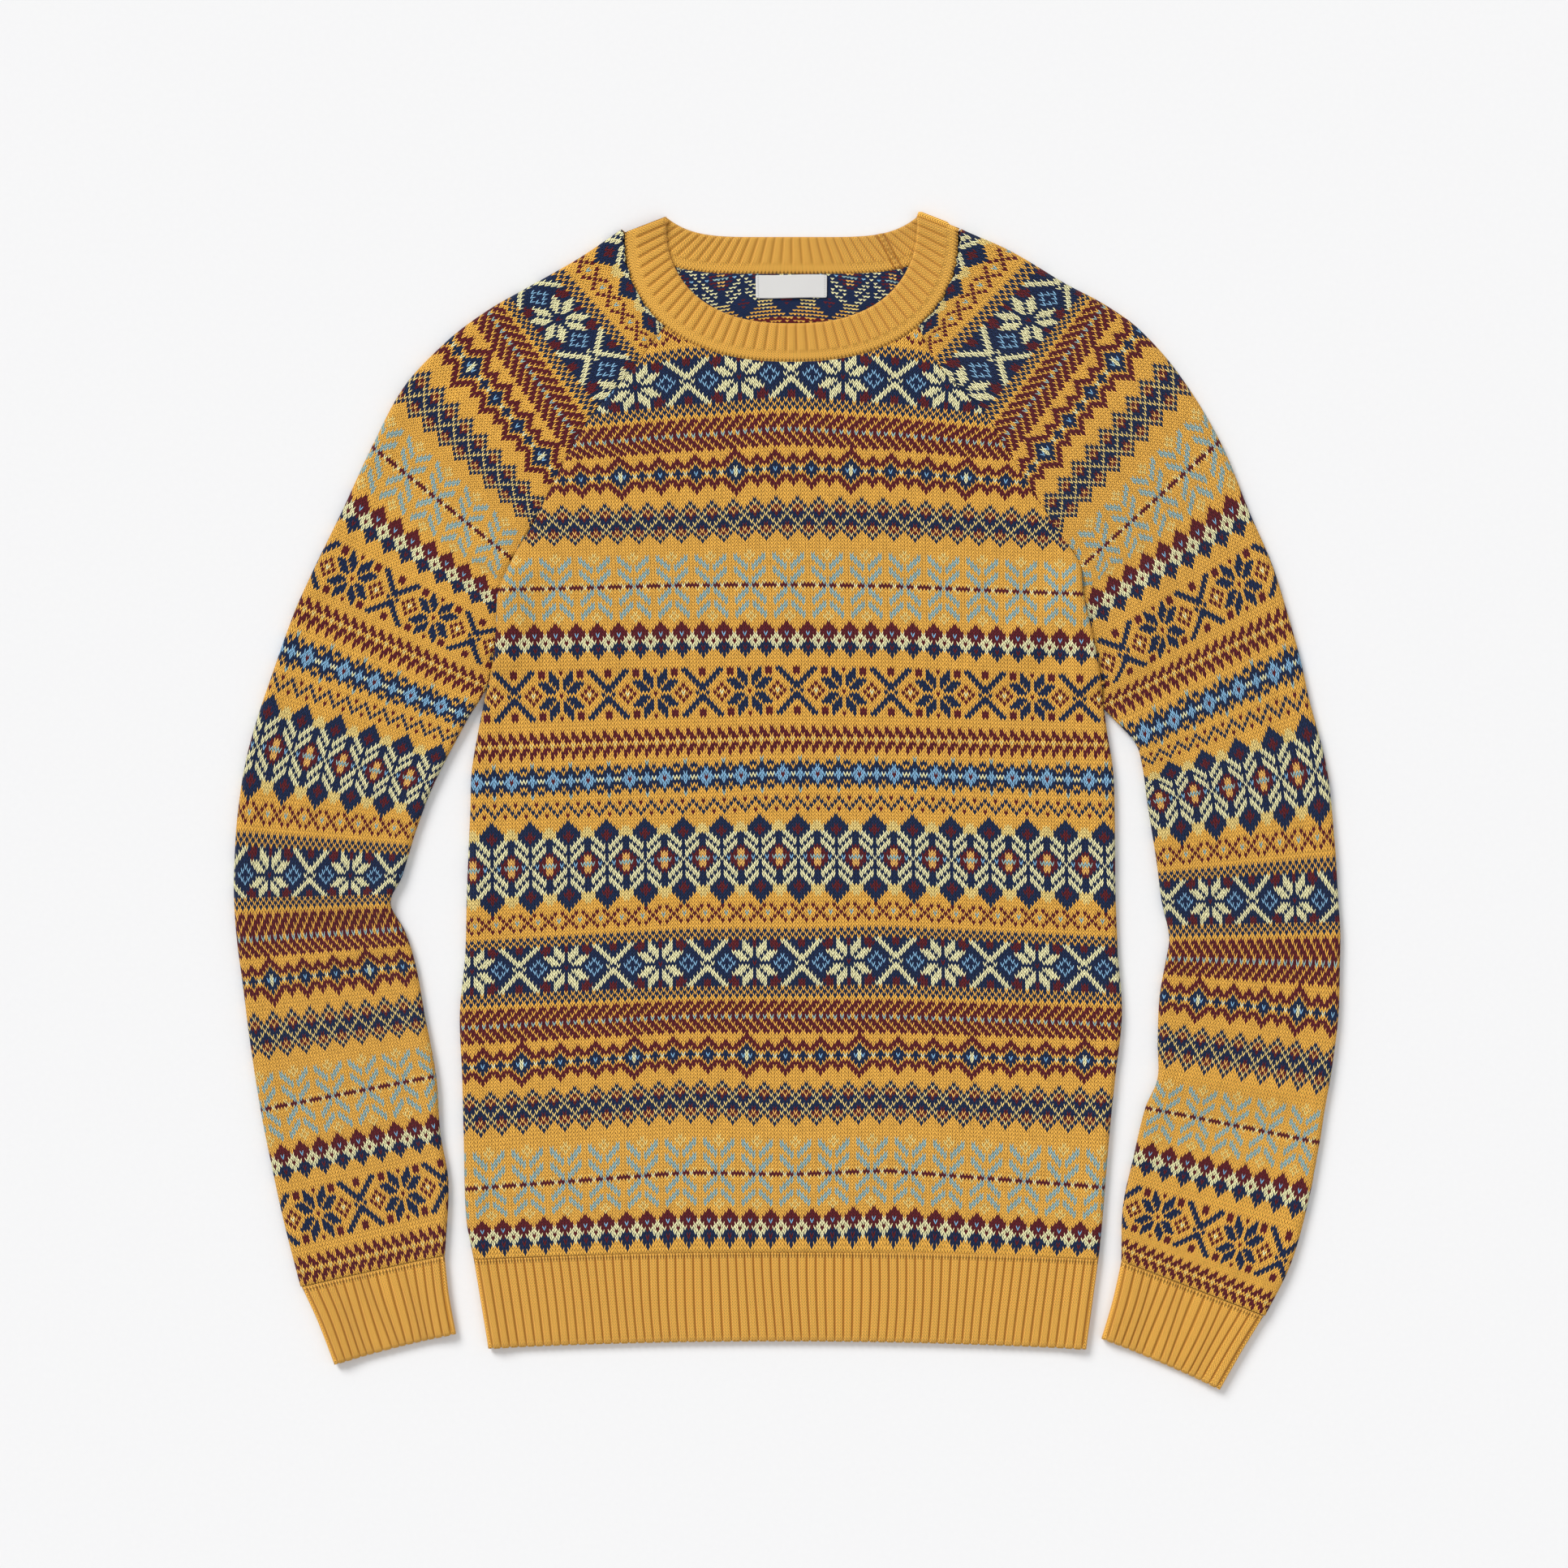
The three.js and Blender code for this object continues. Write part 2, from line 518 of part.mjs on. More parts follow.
/** A sleeve: one wall folded along the shoulder and arm, its two edges on the seams. */
function sleeve(side) {
  const rows = sleeveRows(side);
  const corner = neckCorner(side);
  const down = UP.clone().negate();
  const neckFold = rows[0].out.clone().addScaledVector(corner.way, -FOLD_RADIUS);
  const grid = rows.map(({ section, out, front, back, roll }) => {
    const frontWay = out.clone().sub(front).normalize();
    const backWay = out.clone().sub(back).normalize();
    const foldWay = corner.way.clone()
      .lerp(frontWay.clone().add(backWay).normalize(), smoothstep(section, 0, 1.5)).normalize();
    const foldCentre = out.clone().addScaledVector(foldWay, -FOLD_RADIUS);
    const innerCentre = front.clone().addScaledVector(frontWay, FOLD_RADIUS);
    const bendShare = 1 - smoothstep(section, 0, 2.2);
    const place = (start, share, isFront) => {
      const straight = (isFront ? rows[0].front : rows[0].back).clone().lerp(neckFold, share);
      const bend = neckBend(straight, corner, isFront).multiplyScalar(bendShare);
      const plan = start.clone().lerp(foldCentre, share).add(bend);
      if (!isFront) return wallPoint(plan.x, plan.y, LOWER_MID, down);
      const rise = foldLift(plan.distanceTo(foldCentre)) + roll * foldLift(plan.distanceTo(innerCentre));
      return wallPoint(plan.x, plan.y, UPPER_MID + rise + ridgeLift(plan.x, plan.y), UP);
    };
    const edge = (start, way, isFront) => QUARTER_ROLL.map((angle, k) => {
      const inset = (k / (QUARTER_ROLL.length - 1)) * FOLD_RADIUS;
      const share = inset / start.distanceTo(foldCentre);
      const centre = start.clone().addScaledVector(way, FOLD_RADIUS);
      const rolled = rollPoint(centre, way.clone().negate(), isFront ? angle : -angle);
      return mixPoints(place(start, share, isFront), rolled, roll);
    });
    const face = (start, count, isFront) => {
      const first = FOLD_RADIUS / start.distanceTo(foldCentre);
      return Array.from({ length: count - 1 }, (_, k) => place(start, lerp(first, 1, (k + 1) / count), isFront));
    };
    return [
      ...edge(front, frontWay, true),
      ...face(front, SLEEVE_FRONT_COLUMNS, true),
      ...HALF_ROLL.map((angle) => rollPoint(foldCentre, foldWay, angle)),
      ...face(back, SLEEVE_BACK_COLUMNS, false).reverse(),
      ...edge(back, backWay, false).reverse(),
    ];
  });
  return wallGeometry(grid);
}

/** Shares of a band's length at which its columns stand, with a rib's height at each. */
function ribColumns(ribs) {
  const columns = [];
  for (let rib = 0; rib < ribs; rib += 1) {
    columns.push({ share: rib / ribs, raised: 0 });
    for (const crest of RIB.crest) columns.push({ share: (rib + crest) / ribs, raised: 1 });
  }
  columns.push({ share: 1, raised: 0 });
  return columns;
}

/** Evenly spaced plain columns along a band. */
function plainColumns(count) {
  return Array.from({ length: count + 1 }, (_, i) => ({ share: i / count, raised: 0 }));
}

/** How much a tube's edge is drawn in towards its roll, by the share of its length away. */
function drawIn(share) {
  return (1 - share) ** 8;
}

/** A row round a flat tube: its front half, a roll, its back half and the other roll. */
function tubeRow({ frontAt, backAt, frontColumns, backColumns, rib, frontRib, backRib }) {
  const wall = rib.wall / 2;
  const [start, end] = [frontAt(0), frontAt(1)];
  const endWay = end.clone().sub(frontAt(0.96)).add(end.clone().sub(backAt(0.96))).normalize();
  const startWay = start.clone().sub(frontAt(0.04)).add(start.clone().sub(backAt(0.04))).normalize();
  const startCentre = start.clone().addScaledVector(startWay, -FOLD_RADIUS);
  const endCentre = end.clone().addScaledVector(endWay, -FOLD_RADIUS);
  const drawnIn = (at, share) => {
    const plan = at(share);
    plan.addScaledVector(startWay, -FOLD_RADIUS * drawIn(share));
    return plan.addScaledVector(endWay, -FOLD_RADIUS * drawIn(1 - share));
  };
  const front = frontColumns.map(({ share, raised }) => {
    const plan = drawnIn(frontAt, share);
    const rise = foldLift(plan.distanceTo(startCentre)) + foldLift(plan.distanceTo(endCentre));
    const place = wallPoint(plan.x, plan.y, UPPER_MID + rise, UP);
    return { ...place, outer: wall + raised * frontRib, inner: wall };
  });
  const back = backColumns.map(({ share, raised }) => {
    const plan = drawnIn(backAt, share);
    const place = wallPoint(plan.x, plan.y, LOWER_MID, UP.clone().negate());
    return { ...place, outer: CLOTH / 2, inner: wall - (CLOTH - rib.wall) / 2 + raised * backRib };
  });
  const rollRow = (centre, way, angles) => angles.map((angle) => rollPoint(centre, way, angle));
  const inner = HALF_ROLL.slice(1, -1);
  return [
    ...front,
    ...rollRow(endCentre, endWay, inner),
    ...back.reverse(),
    ...rollRow(startCentre, startWay, [...inner].reverse()),
  ];
}

/** A rib band pressed flat, such as the hem or a cuff, through its lines. */
function ribBand(lines, ribs) {
  const sewnWay = new THREE.Vector2(lines[0].fromX, lines[0].fromY)
    .sub(new THREE.Vector2(lines[lines.length - 1].fromX, lines[lines.length - 1].fromY)).normalize();
  const grid = lines.map((line) => {
    const at = (share) => new THREE.Vector2(line.fromX, line.fromY)
      .lerp(new THREE.Vector2(line.toX, line.toY), share)
      .addScaledVector(sewnWay, 4 * line.bow * share * (1 - share));
    return tubeRow({
      frontAt: at,
      backAt: at,
      frontColumns: ribColumns(ribs),
      backColumns: plainColumns(BAND_BACK_COLUMNS),
      rib: RIB,
      frontRib: RIB.height,
      backRib: 0,
    });
  });
  return wallGeometry(grid, true);
}

/** One edge of the neckband in plan, its front or its back half, as a three.js curve. */
class NeckEdge extends THREE.Curve {
  constructor(edge, isFront) {
    super();
    this.edge = edge;
    this.isFront = isFront;
  }

  getPoint(t, target = new THREE.Vector2()) {
    const { edge } = this;
    if (!this.isFront) {
      const x = NECK_MIDDLE + edge.halfWidth * (2 * t - 1);
      return target.set(x, neckBackY(edge, x));
    }
    const angle = Math.PI * t;
    const bend = 2 / edge.frontPower;
    const across = Math.sign(Math.cos(angle)) * Math.abs(Math.cos(angle)) ** bend;
    const down = Math.max(Math.sin(angle), 0) ** bend;
    return target.set(NECK_MIDDLE - edge.halfWidth * across, edge.endY - edge.frontDepth * down);
  }
}

/** The neckband: ribs from its top edge most of the way, then a plain strip at the seam. */
function neckband() {
  const edges = { front: {}, back: {} };
  for (const half of ['front', 'back']) {
    edges[half].top = new NeckEdge(NECK_TOP, half === 'front');
    edges[half].seam = new NeckEdge(NECK_SEAM, half === 'front');
  }
  const strip = NECKBAND.ribShare + 0.06;
  const rows = [
    { down: 0, raised: 1 },
    { down: NECKBAND.ribShare, raised: 1 },
    { down: strip, raised: 0 },
    { down: 1, raised: 0 },
  ];
  const grid = rows.map(({ down, raised }) => {
    const along = (half) => (share) => edges[half].top.getPointAt(share)
      .lerp(edges[half].seam.getPointAt(share), down);
    return tubeRow({
      frontAt: along('front'),
      backAt: along('back'),
      frontColumns: ribColumns(NECKBAND.frontRibs),
      backColumns: ribColumns(NECKBAND.backRibs),
      rib: NECKBAND,
      frontRib: NECKBAND.ribHeight * raised,
      backRib: NECKBAND.ribHeight * raised,
    });
  });
  return wallGeometry(grid, true);
}

/** The woven label, lying on the inside of the back under the neckband. */
function neckLabel() {
  const geometry = new THREE.BoxGeometry(LABEL.width, LABEL.height, LABEL.thickness);
  geometry.translate(LABEL.x, LABEL.y, CLOTH + LAYER_GAP + LABEL.thickness / 2);
  return geometry;
}

const jumper = new THREE.Group();

/** Adds one named piece to the jumper. */
function add(name, geometry, material) {
  const mesh = new THREE.Mesh(geometry, material);
  mesh.name = name;
  jumper.add(mesh);
}

add('back', panel(BACK_PANEL), PATTERNED);
add('front', panel(FRONT_PANEL), PATTERNED);
add('sleeve_left', sleeve('left'), PATTERNED);
add('sleeve_right', sleeve('right'), PATTERNED);
add('neckband', neckband(), MUSTARD);
add('hem_rib', ribBand(HEM_LINES, HEM_RIBS), MUSTARD);
add('cuff_left', ribBand(CUFF_LINES.left, CUFF_RIBS), MUSTARD);
add('cuff_right', ribBand(CUFF_LINES.right, CUFF_RIBS), MUSTARD);
add('neck_label', neckLabel(), WOVEN_LABEL);

export default jumper;
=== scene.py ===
"""A fair isle jumper laid flat, built stitch by stitch over its measured frame.

Every patterned piece is a lattice with one face for each knitted stitch. Tables of its courses
(rows of stitches) and wales (columns of stitches) place it, then it is trimmed to the piece's
outline and given the cloth's thickness. Each face carries the yarns from which the material draws
its V. Lengths are in millimetres until a mesh is made.
"""

import logging
import math
from dataclasses import dataclass
from enum import Enum
from typing import Dict, List, Optional, Sequence, Tuple

import bpy
import numpy as np
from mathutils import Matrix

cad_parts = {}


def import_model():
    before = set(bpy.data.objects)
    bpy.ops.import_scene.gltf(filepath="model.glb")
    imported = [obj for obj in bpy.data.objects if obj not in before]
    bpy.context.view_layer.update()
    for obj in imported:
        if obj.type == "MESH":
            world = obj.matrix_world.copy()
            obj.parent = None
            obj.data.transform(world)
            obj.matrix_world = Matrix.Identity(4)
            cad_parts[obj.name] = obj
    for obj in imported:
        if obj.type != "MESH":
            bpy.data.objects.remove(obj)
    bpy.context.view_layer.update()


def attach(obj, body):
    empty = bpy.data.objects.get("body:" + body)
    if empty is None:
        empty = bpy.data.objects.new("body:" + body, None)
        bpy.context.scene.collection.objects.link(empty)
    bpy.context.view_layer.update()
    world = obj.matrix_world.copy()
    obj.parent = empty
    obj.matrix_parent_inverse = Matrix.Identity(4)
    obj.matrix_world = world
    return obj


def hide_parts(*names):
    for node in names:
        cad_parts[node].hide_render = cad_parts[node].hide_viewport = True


LOG = logging.getLogger("jumper")
Array = np.ndarray
Piece = bpy.types.Object
Socket = bpy.types.NodeSocket
MM = 0.001
QUARTER = math.pi / 2  # a quarter turn
LEVEL = 1e-6  # how near a quarter turn counts as one

# Cloth and its two layers
CLOTH = 2.0  # thickness of the patterned knit
TOP_FACE = 4.9  # height of the upper layer's outer face
FOLD_RADIUS = 3.2  # outer radius of a rolled fold
FOLD_RISE = 1.5  # how far a fold lifts the upper layer beside it
FOLD_REACH = 18.0  # distance over which that lift dies away
PANEL_TURN = FOLD_RADIUS * (QUARTER - 1.06)  # cloth past a panel's edge that its side fold takes up
SLEEVE_TURN = FOLD_RADIUS * (QUARTER - 1.0) - 0.3  # the same at a sleeve's inner fold
SEAM_DIP = 1.1  # how far cloth sinks into a sewn seam
SEAM_REACH = 3.0  # distance from the seam over which it sinks
SEAM_GAP = 0.1  # gap between a sleeve and the panel at a raglan seam
NECK_REACH = 90.0  # distance from the middle within which the front sinks into the neck seam
NECK_ROWS = 60  # rows of a sleeve among which its neck seam lies
SLIVER = 0.05  # area in square millimetres under which a trimmed stitch is left out
ARMPIT_COURSE = 111.5  # course at which the sleeves part from the body
INNER_FOLD_COURSE = 120.5  # course from which a sleeve's inner fold is fully rolled
ROLL_STEPS = 10  # mesh steps round the half circle at a band's end

# The front's side fold, which lies over the sleeve between the armpit and the seam's bend
OVERLAP_LIFT = 2.9  # how far it is lifted
OVERLAP_FLAT = 10.0  # distance from the fold over which it stays so
OVERLAP_REACH = 34.0  # distance at which it is down again
OVERLAP_RAMP = 16.0  # height over which the lift comes and goes
OVERLAP_TUCK = 7.0  # how far the sleeve is tucked in under it
OVERLAP_INSET = 17.0  # distance from both ends at which the tuck starts


class Side(Enum):
    """The viewer's left and right, looking down on the front."""

    LEFT = "left"
    RIGHT = "right"

    @property
    def outward(self) -> int:
        """Sign of X away from the body."""
        return -1 if self is Side.LEFT else 1


class Yarn(Enum):
    """Dyed yarns: the letter each has in the charts, and its colour as red, green and blue bytes."""

    MUSTARD = (".", (255, 191, 82))
    NAVY = ("n", (23, 42, 80))
    CREAM = ("c", (255, 248, 192))
    MAROON = ("m", (104, 27, 36))
    SKY = ("l", (140, 190, 226))
    MIST = ("g", (166, 196, 194))
    APRICOT = ("o", (255, 196, 104))
    STRAW = ("p", (255, 224, 138))

    @property
    def letter(self) -> str:
        """The yarn's letter in the charts."""
        return self.value[0]

    @property
    def linear(self) -> Array:
        """The colour as linear light."""
        share = np.asarray(self.value[1], dtype=float) / 255.0
        return np.where(share <= 0.04045, share / 12.92, ((share + 0.055) / 1.055) ** 2.4)


def smoothstep(value: Array, low: float, high: float) -> Array:
    """Rises from 0 at low to 1 at high as 3s^2 - 2s^3."""
    share = np.clip((np.asarray(value, dtype=float) - low) / (high - low), 0.0, 1.0)
    return share * share * (3.0 - 2.0 * share)


def between(value: Array, low: float, high: float, ramp: float) -> Array:
    """1 between two values and 0 outside them, with a soft ramp inside each end."""
    return smoothstep(value, low, low + ramp) * (1.0 - smoothstep(value, high - ramp, high))


def arch(share: Array) -> Array:
    """A low arch over a share from 0 to 1: 4s(1 - s)."""
    return 4 * share * (1 - share)


def bell(distance: Array, width: float) -> Array:
    """A bell curve of a distance: exp(-(d / width)^2)."""
    return np.exp(-((distance / width) ** 2))


def sunk(distance: Array) -> Array:
    """How far cloth sinks at a distance from a seam."""
    return SEAM_DIP * bell(np.maximum(distance, 0.0), SEAM_REACH)


def fold_lift(distance: Array) -> Array:
    """Lift of the upper layer beside a rolled fold, by the distance from where the roll starts."""
    return FOLD_RISE * (1.0 - smoothstep(np.maximum(distance, 0.0), 0.0, FOLD_REACH))


class Table:
    """Measurements in named columns against a first column that rises."""

    def __init__(self, names: str, rows: Sequence[Sequence[float]]) -> None:
        """Keeps the rows.

        Args:
            names: The columns' names, parted by spaces.
            rows: One row of numbers for each station.
        """
        data = np.asarray(rows, dtype=float)
        self.keys = data[:, 0]
        self.columns = {name: data[:, i] for i, name in enumerate(names.split())}

    def at(self, names: str, places: Array) -> Array:
        """Reads columns on smooth curves through the rows, and on straight lines past them.

        Between two rows the value is a cubic whose slope at each row is that of the line through
        its two neighbours.

        Args:
            names: One column, or several parted by spaces.
            places: Values of the first column.

        Returns:
            The values there, with several columns stacked on a last axis.
        """
        if " " in names:
            return np.stack([self.at(name, places) for name in names.split()], axis=-1)
        keys, values = self.keys, self.columns[names]
        places = np.asarray(places, dtype=float)
        last = len(keys) - 1
        low = np.clip(np.searchsorted(keys, places, side="right") - 1, 0, last - 1)
        before = np.maximum(np.arange(last + 1) - 1, 0)
        after = np.minimum(np.arange(last + 1) + 1, last)
        slopes = (values[after] - values[before]) / (keys[after] - keys[before])
        span = keys[low + 1] - keys[low]
        raw = (places - keys[low]) / span
        share = np.clip(raw, 0.0, 1.0)
        ends = share * (1.0 - share) * span
        curve = values[low] + (values[low + 1] - values[low]) * smoothstep(share, 0.0, 1.0)
        curve = curve + ends * ((1.0 - share) * slopes[low] - share * slopes[low + 1])
        beyond = np.where(raw < 0, raw * slopes[0], np.where(raw > 1, (raw - 1.0) * slopes[last], 0.0))
        return curve + beyond * span


# Outline of the front: its two edges at each height, side folds below and raglan seams above
FRONT_OUTLINE = Table("y left right", [
    (-293, -200.7, 199.2), (-267, -205.4, 201.8), (-215, -207, 206), (-176, -208, 210),
    (-137, -209.5, 214.2), (-98, -206, 211.6), (-59, -205, 210), (-7, -202.8, 209.5),
    (19, -201.8, 208.5), (45, -197.5, 204.4), (72, -192, 201), (90, -188, 198.6),
    (109, -186.2, 194.6), (132, -185, 189.3), (150, -178, 187.6), (162, -172, 181),
    (175, -163.8, 171.6), (211, -145.6, 149), (232, -134.7, 136), (250, -122.2, 124.8),
    (273, -101.4, 101), (289, -89, 90.5), (303, -78.8, 84.2),
])

# Outline of the back above the armpits
BACK_SEAMS = Table("y left right", [
    (60, -194, 201.8), (72, -192, 199), (120, -182, 190), (175, -163, 170),
    (235, -130, 136), (290, -96, 101), (340, -67.3, 72.7),
])
ARMPIT = {Side.LEFT: 72.0, Side.RIGHT: 60.0}
SEAM_BEND = {Side.LEFT: 160.0, Side.RIGHT: 154.0}

# Sleeves above the armpit, a row for each course that a band's middle lies on: the course, its
# point on the shoulder fold, and the heights where it meets the front and the back seam
SHOULDERS = {
    Side.LEFT: Table("course out_x out_y front_y back_y", [
        (-32, -73.5, 387.5, 319, 362), (-17.4, -105.7, 365.7, 303, 340), (-4.5, -134, 346.5, 290, 322),
        (9.5, -166.4, 328, 266, 295), (24.5, -192.4, 313, 231.5, 262), (35.5, -217, 294.5, 207, 232),
        (49, -244.4, 265.7, 182, 202), (68.5, -266, 225.7, 154, 168), (84.5, -284, 186.7, 121.7, 132),
        (98.5, -301, 152, 95, 99), (111.5, -314, 124, 72, 72),
    ]),
    Side.RIGHT: Table("course out_x out_y front_y back_y", [
        (-32, 75, 384, 319, 362), (-17.4, 111.1, 365.7, 303, 340), (-4.5, 143, 351.5, 290, 322),
        (9.5, 177.8, 330.7, 262, 293), (24.5, 203.8, 316.7, 229.3, 260), (35.5, 226.2, 300.6, 206, 230),
        (49, 250.6, 272.5, 180, 200), (68.5, 277.2, 229.3, 148.7, 165), (84.5, 295.4, 185, 115, 127),
        (98.5, 310.4, 150.3, 82, 88), (111.5, 321.4, 115, 60, 60),
    ]),
}

# Sleeves below the armpit: the course, its point on the outer fold and on the inner fold
ARMS = {
    Side.LEFT: Table("course out_x out_y in_x in_y", [
        (111.5, -314, 124, -192.4, 72), (120.5, -324, 96.7, -203.8, 53), (143.5, -344, 35.4, -226, 10.4),
        (158.5, -351.5, -7.3, -237.6, -19.8), (172.5, -354, -48.4, -246.5, -48.9),
        (182, -353.6, -70.7, -253.8, -66.6), (187.5, -352, -90.5, -244.9, -83.2),
        (198.5, -348.4, -117.5, -237.6, -106.1), (212, -344, -153, -232, -137),
        (231.5, -337, -198.6, -224.6, -176.8), (247.5, -329.7, -235, -222, -212.7),
        (261.5, -322, -270, -216.8, -245), (278, -311.5, -311, -219, -290.7),
    ]),
    Side.RIGHT: Table("course out_x out_y in_x in_y", [
        (111.5, 321.4, 115, 201.4, 60), (120.5, 328.6, 89, 221.5, 38.5), (128, 333.8, 65.5, 226.7, 24),
        (143.5, 345.3, 19.8, 230.4, -2), (158.5, 350, -23, 236, -37.4), (172.5, 352.6, -64.5, 239.7, -65.5),
        (182, 354, -85.3, 244.4, -88), (187.5, 353.6, -106, 242.3, -102),
        (198.5, 352.6, -138.3, 238.2, -125.8), (212, 348.4, -172.6, 237, -155.5),
        (221, 344, -197, 237, -177.5), (231.5, 340.6, -219.4, 229, -197), (247.5, 333.3, -257, 221.5, -228.3),
        (261.5, 322.4, -296, 214.8, -259.5), (278, 305.8, -329.7, 213.7, -294.3),
    ]),
}

# Where the body's courses lie: the height of each in the middle, and how far it has dropped at
# four distances to the left and right of the middle
COURSES = Table("course middle left_170 left_65 right_65 right_175", [
    (-40, 385, 40, 8, 8, 40), (-17, 333, 32, 7, 6, 30), (9.5, 272.5, 19, 5, 4, 18),
    (24.5, 236.6, 13, 4, 3, 14),
    (35.5, 211.6, 9, 3.5, 2, 11), (49, 179.9, 5.5, 3, 0.8, 8), (68.5, 137.3, 3.1, 0.3, 0.8, 5.6),
    (84.5, 101.9, 2.6, 0.4, 0.5, 5), (98.5, 70.2, 4.6, 1.8, 1.5, 5.4), (111.5, 38.8, 5.2, 1.6, 0.6, 3.2),
    (120.5, 16.4, 5.6, 2.2, 0.3, 3.6), (128, -2.2, 5.2, 2.2, 0.2, 4), (143.5, -36.4, 7.6, 1.2, 0.6, 5),
    (158.5, -72.1, 7.2, 0.4, -1, 4.4), (172.5, -104.4, 4.4, 0.2, -1.6, 2.8),
    (187.5, -138.8, 5.6, 0.2, 0.3, 4),
    (198.5, -164.1, 5.4, -1.2, -0.8, 2.4), (212, -194.5, 4.8, -2, -1.3, 3), (231.5, -239.5, 7, -0.8, -2, 6.4),
    (247.5, -274, 5.2, -0.4, -1.6, 6.6), (253, -289, 4.4, 0.4, 0.4, 4.4), (258, -301, 4.4, 0.4, 0.4, 4.4),
])

# Where the body's wales lie: the middle of the star's wale, and the width of a stitch
WALES = Table("course star pitch", [
    (-40, -36, 2.52), (9.5, -30.7, 2.46), (35.5, -28.3, 2.30), (98.5, -23.9, 2.23), (172.5, -20.8, 2.23),
    (198.5, -21.4, 2.25), (247.5, -21.5, 2.19), (258, -21.5, 2.15),
])

# The sleeves' wales: the width of a stitch, and how many lie between the fold and the first star
SLEEVE_WALES = {
    Side.LEFT: Table("course pitch fold", [
        (-40, 2.4, 13.5), (9.5, 2.34, 13), (60, 2.2, 13), (98.5, 2.14, 12.5), (172.5, 1.91, 13),
        (212, 2.0, 12.4),
        (261.5, 2.06, 12), (278, 2.0, 12),
    ]),
    Side.RIGHT: Table("course pitch fold", [
        (-40, 2.4, 15.5), (9.5, 2.34, 15), (60, 2.2, 13.5), (98.5, 2.12, 12.5), (172.5, 2.0, 15),
        (212, 2.02, 16.5), (261.5, 2.05, 18), (278, 2.0, 18),
    ]),
}

# The lines across the hem and cuffs from the sewn edge to the free edge: the share of the way,
# its two ends, and how far its middle is bowed towards the sewn edge
HEM_LINES = Table("down from_x from_y to_x to_y bow", [
    (0, -200.7, -293.4, 199.2, -293.4, 4.4), (1, -191.4, -350, 191.4, -350.5, 4.8),
])
CUFF_LINES = {
    Side.LEFT: Table("down from_x from_y to_x to_y bow", [
        (0, -310.5, -311.6, -219.2, -291.4, 0), (0.43, -300.8, -332.6, -216.6, -315, 0.4),
        (1, -290, -360.4, -212, -340.6, 0.8),
    ]),
    Side.RIGHT: Table("down from_x from_y to_x to_y bow", [
        (0, 213.7, -295, 304.6, -330.2, 0), (0.5, 208.2, -319.6, 291.5, -351.5, 0.4),
        (1, 201.2, -343.7, 277.2, -376.4, 0.8),
    ]),
}

# A stitch's V shows a little above its own place, so lines are laid a quarter of a course lower
V_SHIFT = 0.25

# Soft ridges and troughs of the upper layer, as from_x, from_y, to_x, to_y, half_width and height:
# a line's two ends, the half width across it, and the height, below zero for a trough
RIDGES = [
    (-172, 132, -118, 92, 22, 1.4), (178, 124, 120, 84, 22, 1.4), (-60, 222, 80, 228, 26, 1.0),
    (-120, -118, 30, -104, 24, 1.2), (-322, -58, -262, -68, 16, 2.0), (-314, -104, -256, -92, 14, 1.6),
    (262, -178, 318, -186, 15, 2.0), (-232, 152, -204, 96, 18, 1.8), (236, 140, 216, 78, 18, 1.8),
    (-176, 100, -128, 66, 12, -0.8), (176, 92, 132, 60, 12, -0.8), (-20, 118, 96, 96, 24, 0.7),
    (-150, 20, -60, 34, 26, 0.6), (40, -30, 150, -18, 24, 0.7), (-60, -210, 90, -222, 28, 0.7),
    (-196, -40, -188, -150, 14, 0.9), (196, -60, 190, -170, 14, 0.9), (-318, -84, -262, -80, 10, -0.9),
    (256, -206, 312, -214, 10, -0.7), (-290, 60, -250, 40, 20, 0.8), (300, 30, 254, 8, 20, 0.8),
    (-262, -200, -304, -214, 18, 0.8), (-218, 256, -176, 220, 20, 0.7), (226, 262, 182, 222, 20, 0.7),
]


def relief(x: Array, y: Array) -> Array:
    """How far the upper layer lies above its plain height at places in plan.

    Each ridge adds its height, fading with the distance from its line; slow waves a few tenths
    of a millimetre high keep the rest from lying dead flat.

    Args:
        x: Places across.
        y: Places up.

    Returns:
        The lift.
    """
    lift = 0.22 * np.sin(x / 31.0 + y / 57.0) + 0.18 * np.sin(y / 23.0 - x / 71.0)
    for from_x, from_y, to_x, to_y, half_width, height in RIDGES:
        line = np.array([to_x - from_x, to_y - from_y], dtype=float)
        share = np.clip(((x - from_x) * line[0] + (y - from_y) * line[1]) / (line @ line), 0.0, 1.0)
        away = np.hypot(x - from_x - share * line[0], y - from_y - share * line[1])
        lift = lift + height * (1.0 - smoothstep(away, 0.0, half_width))
    return lift


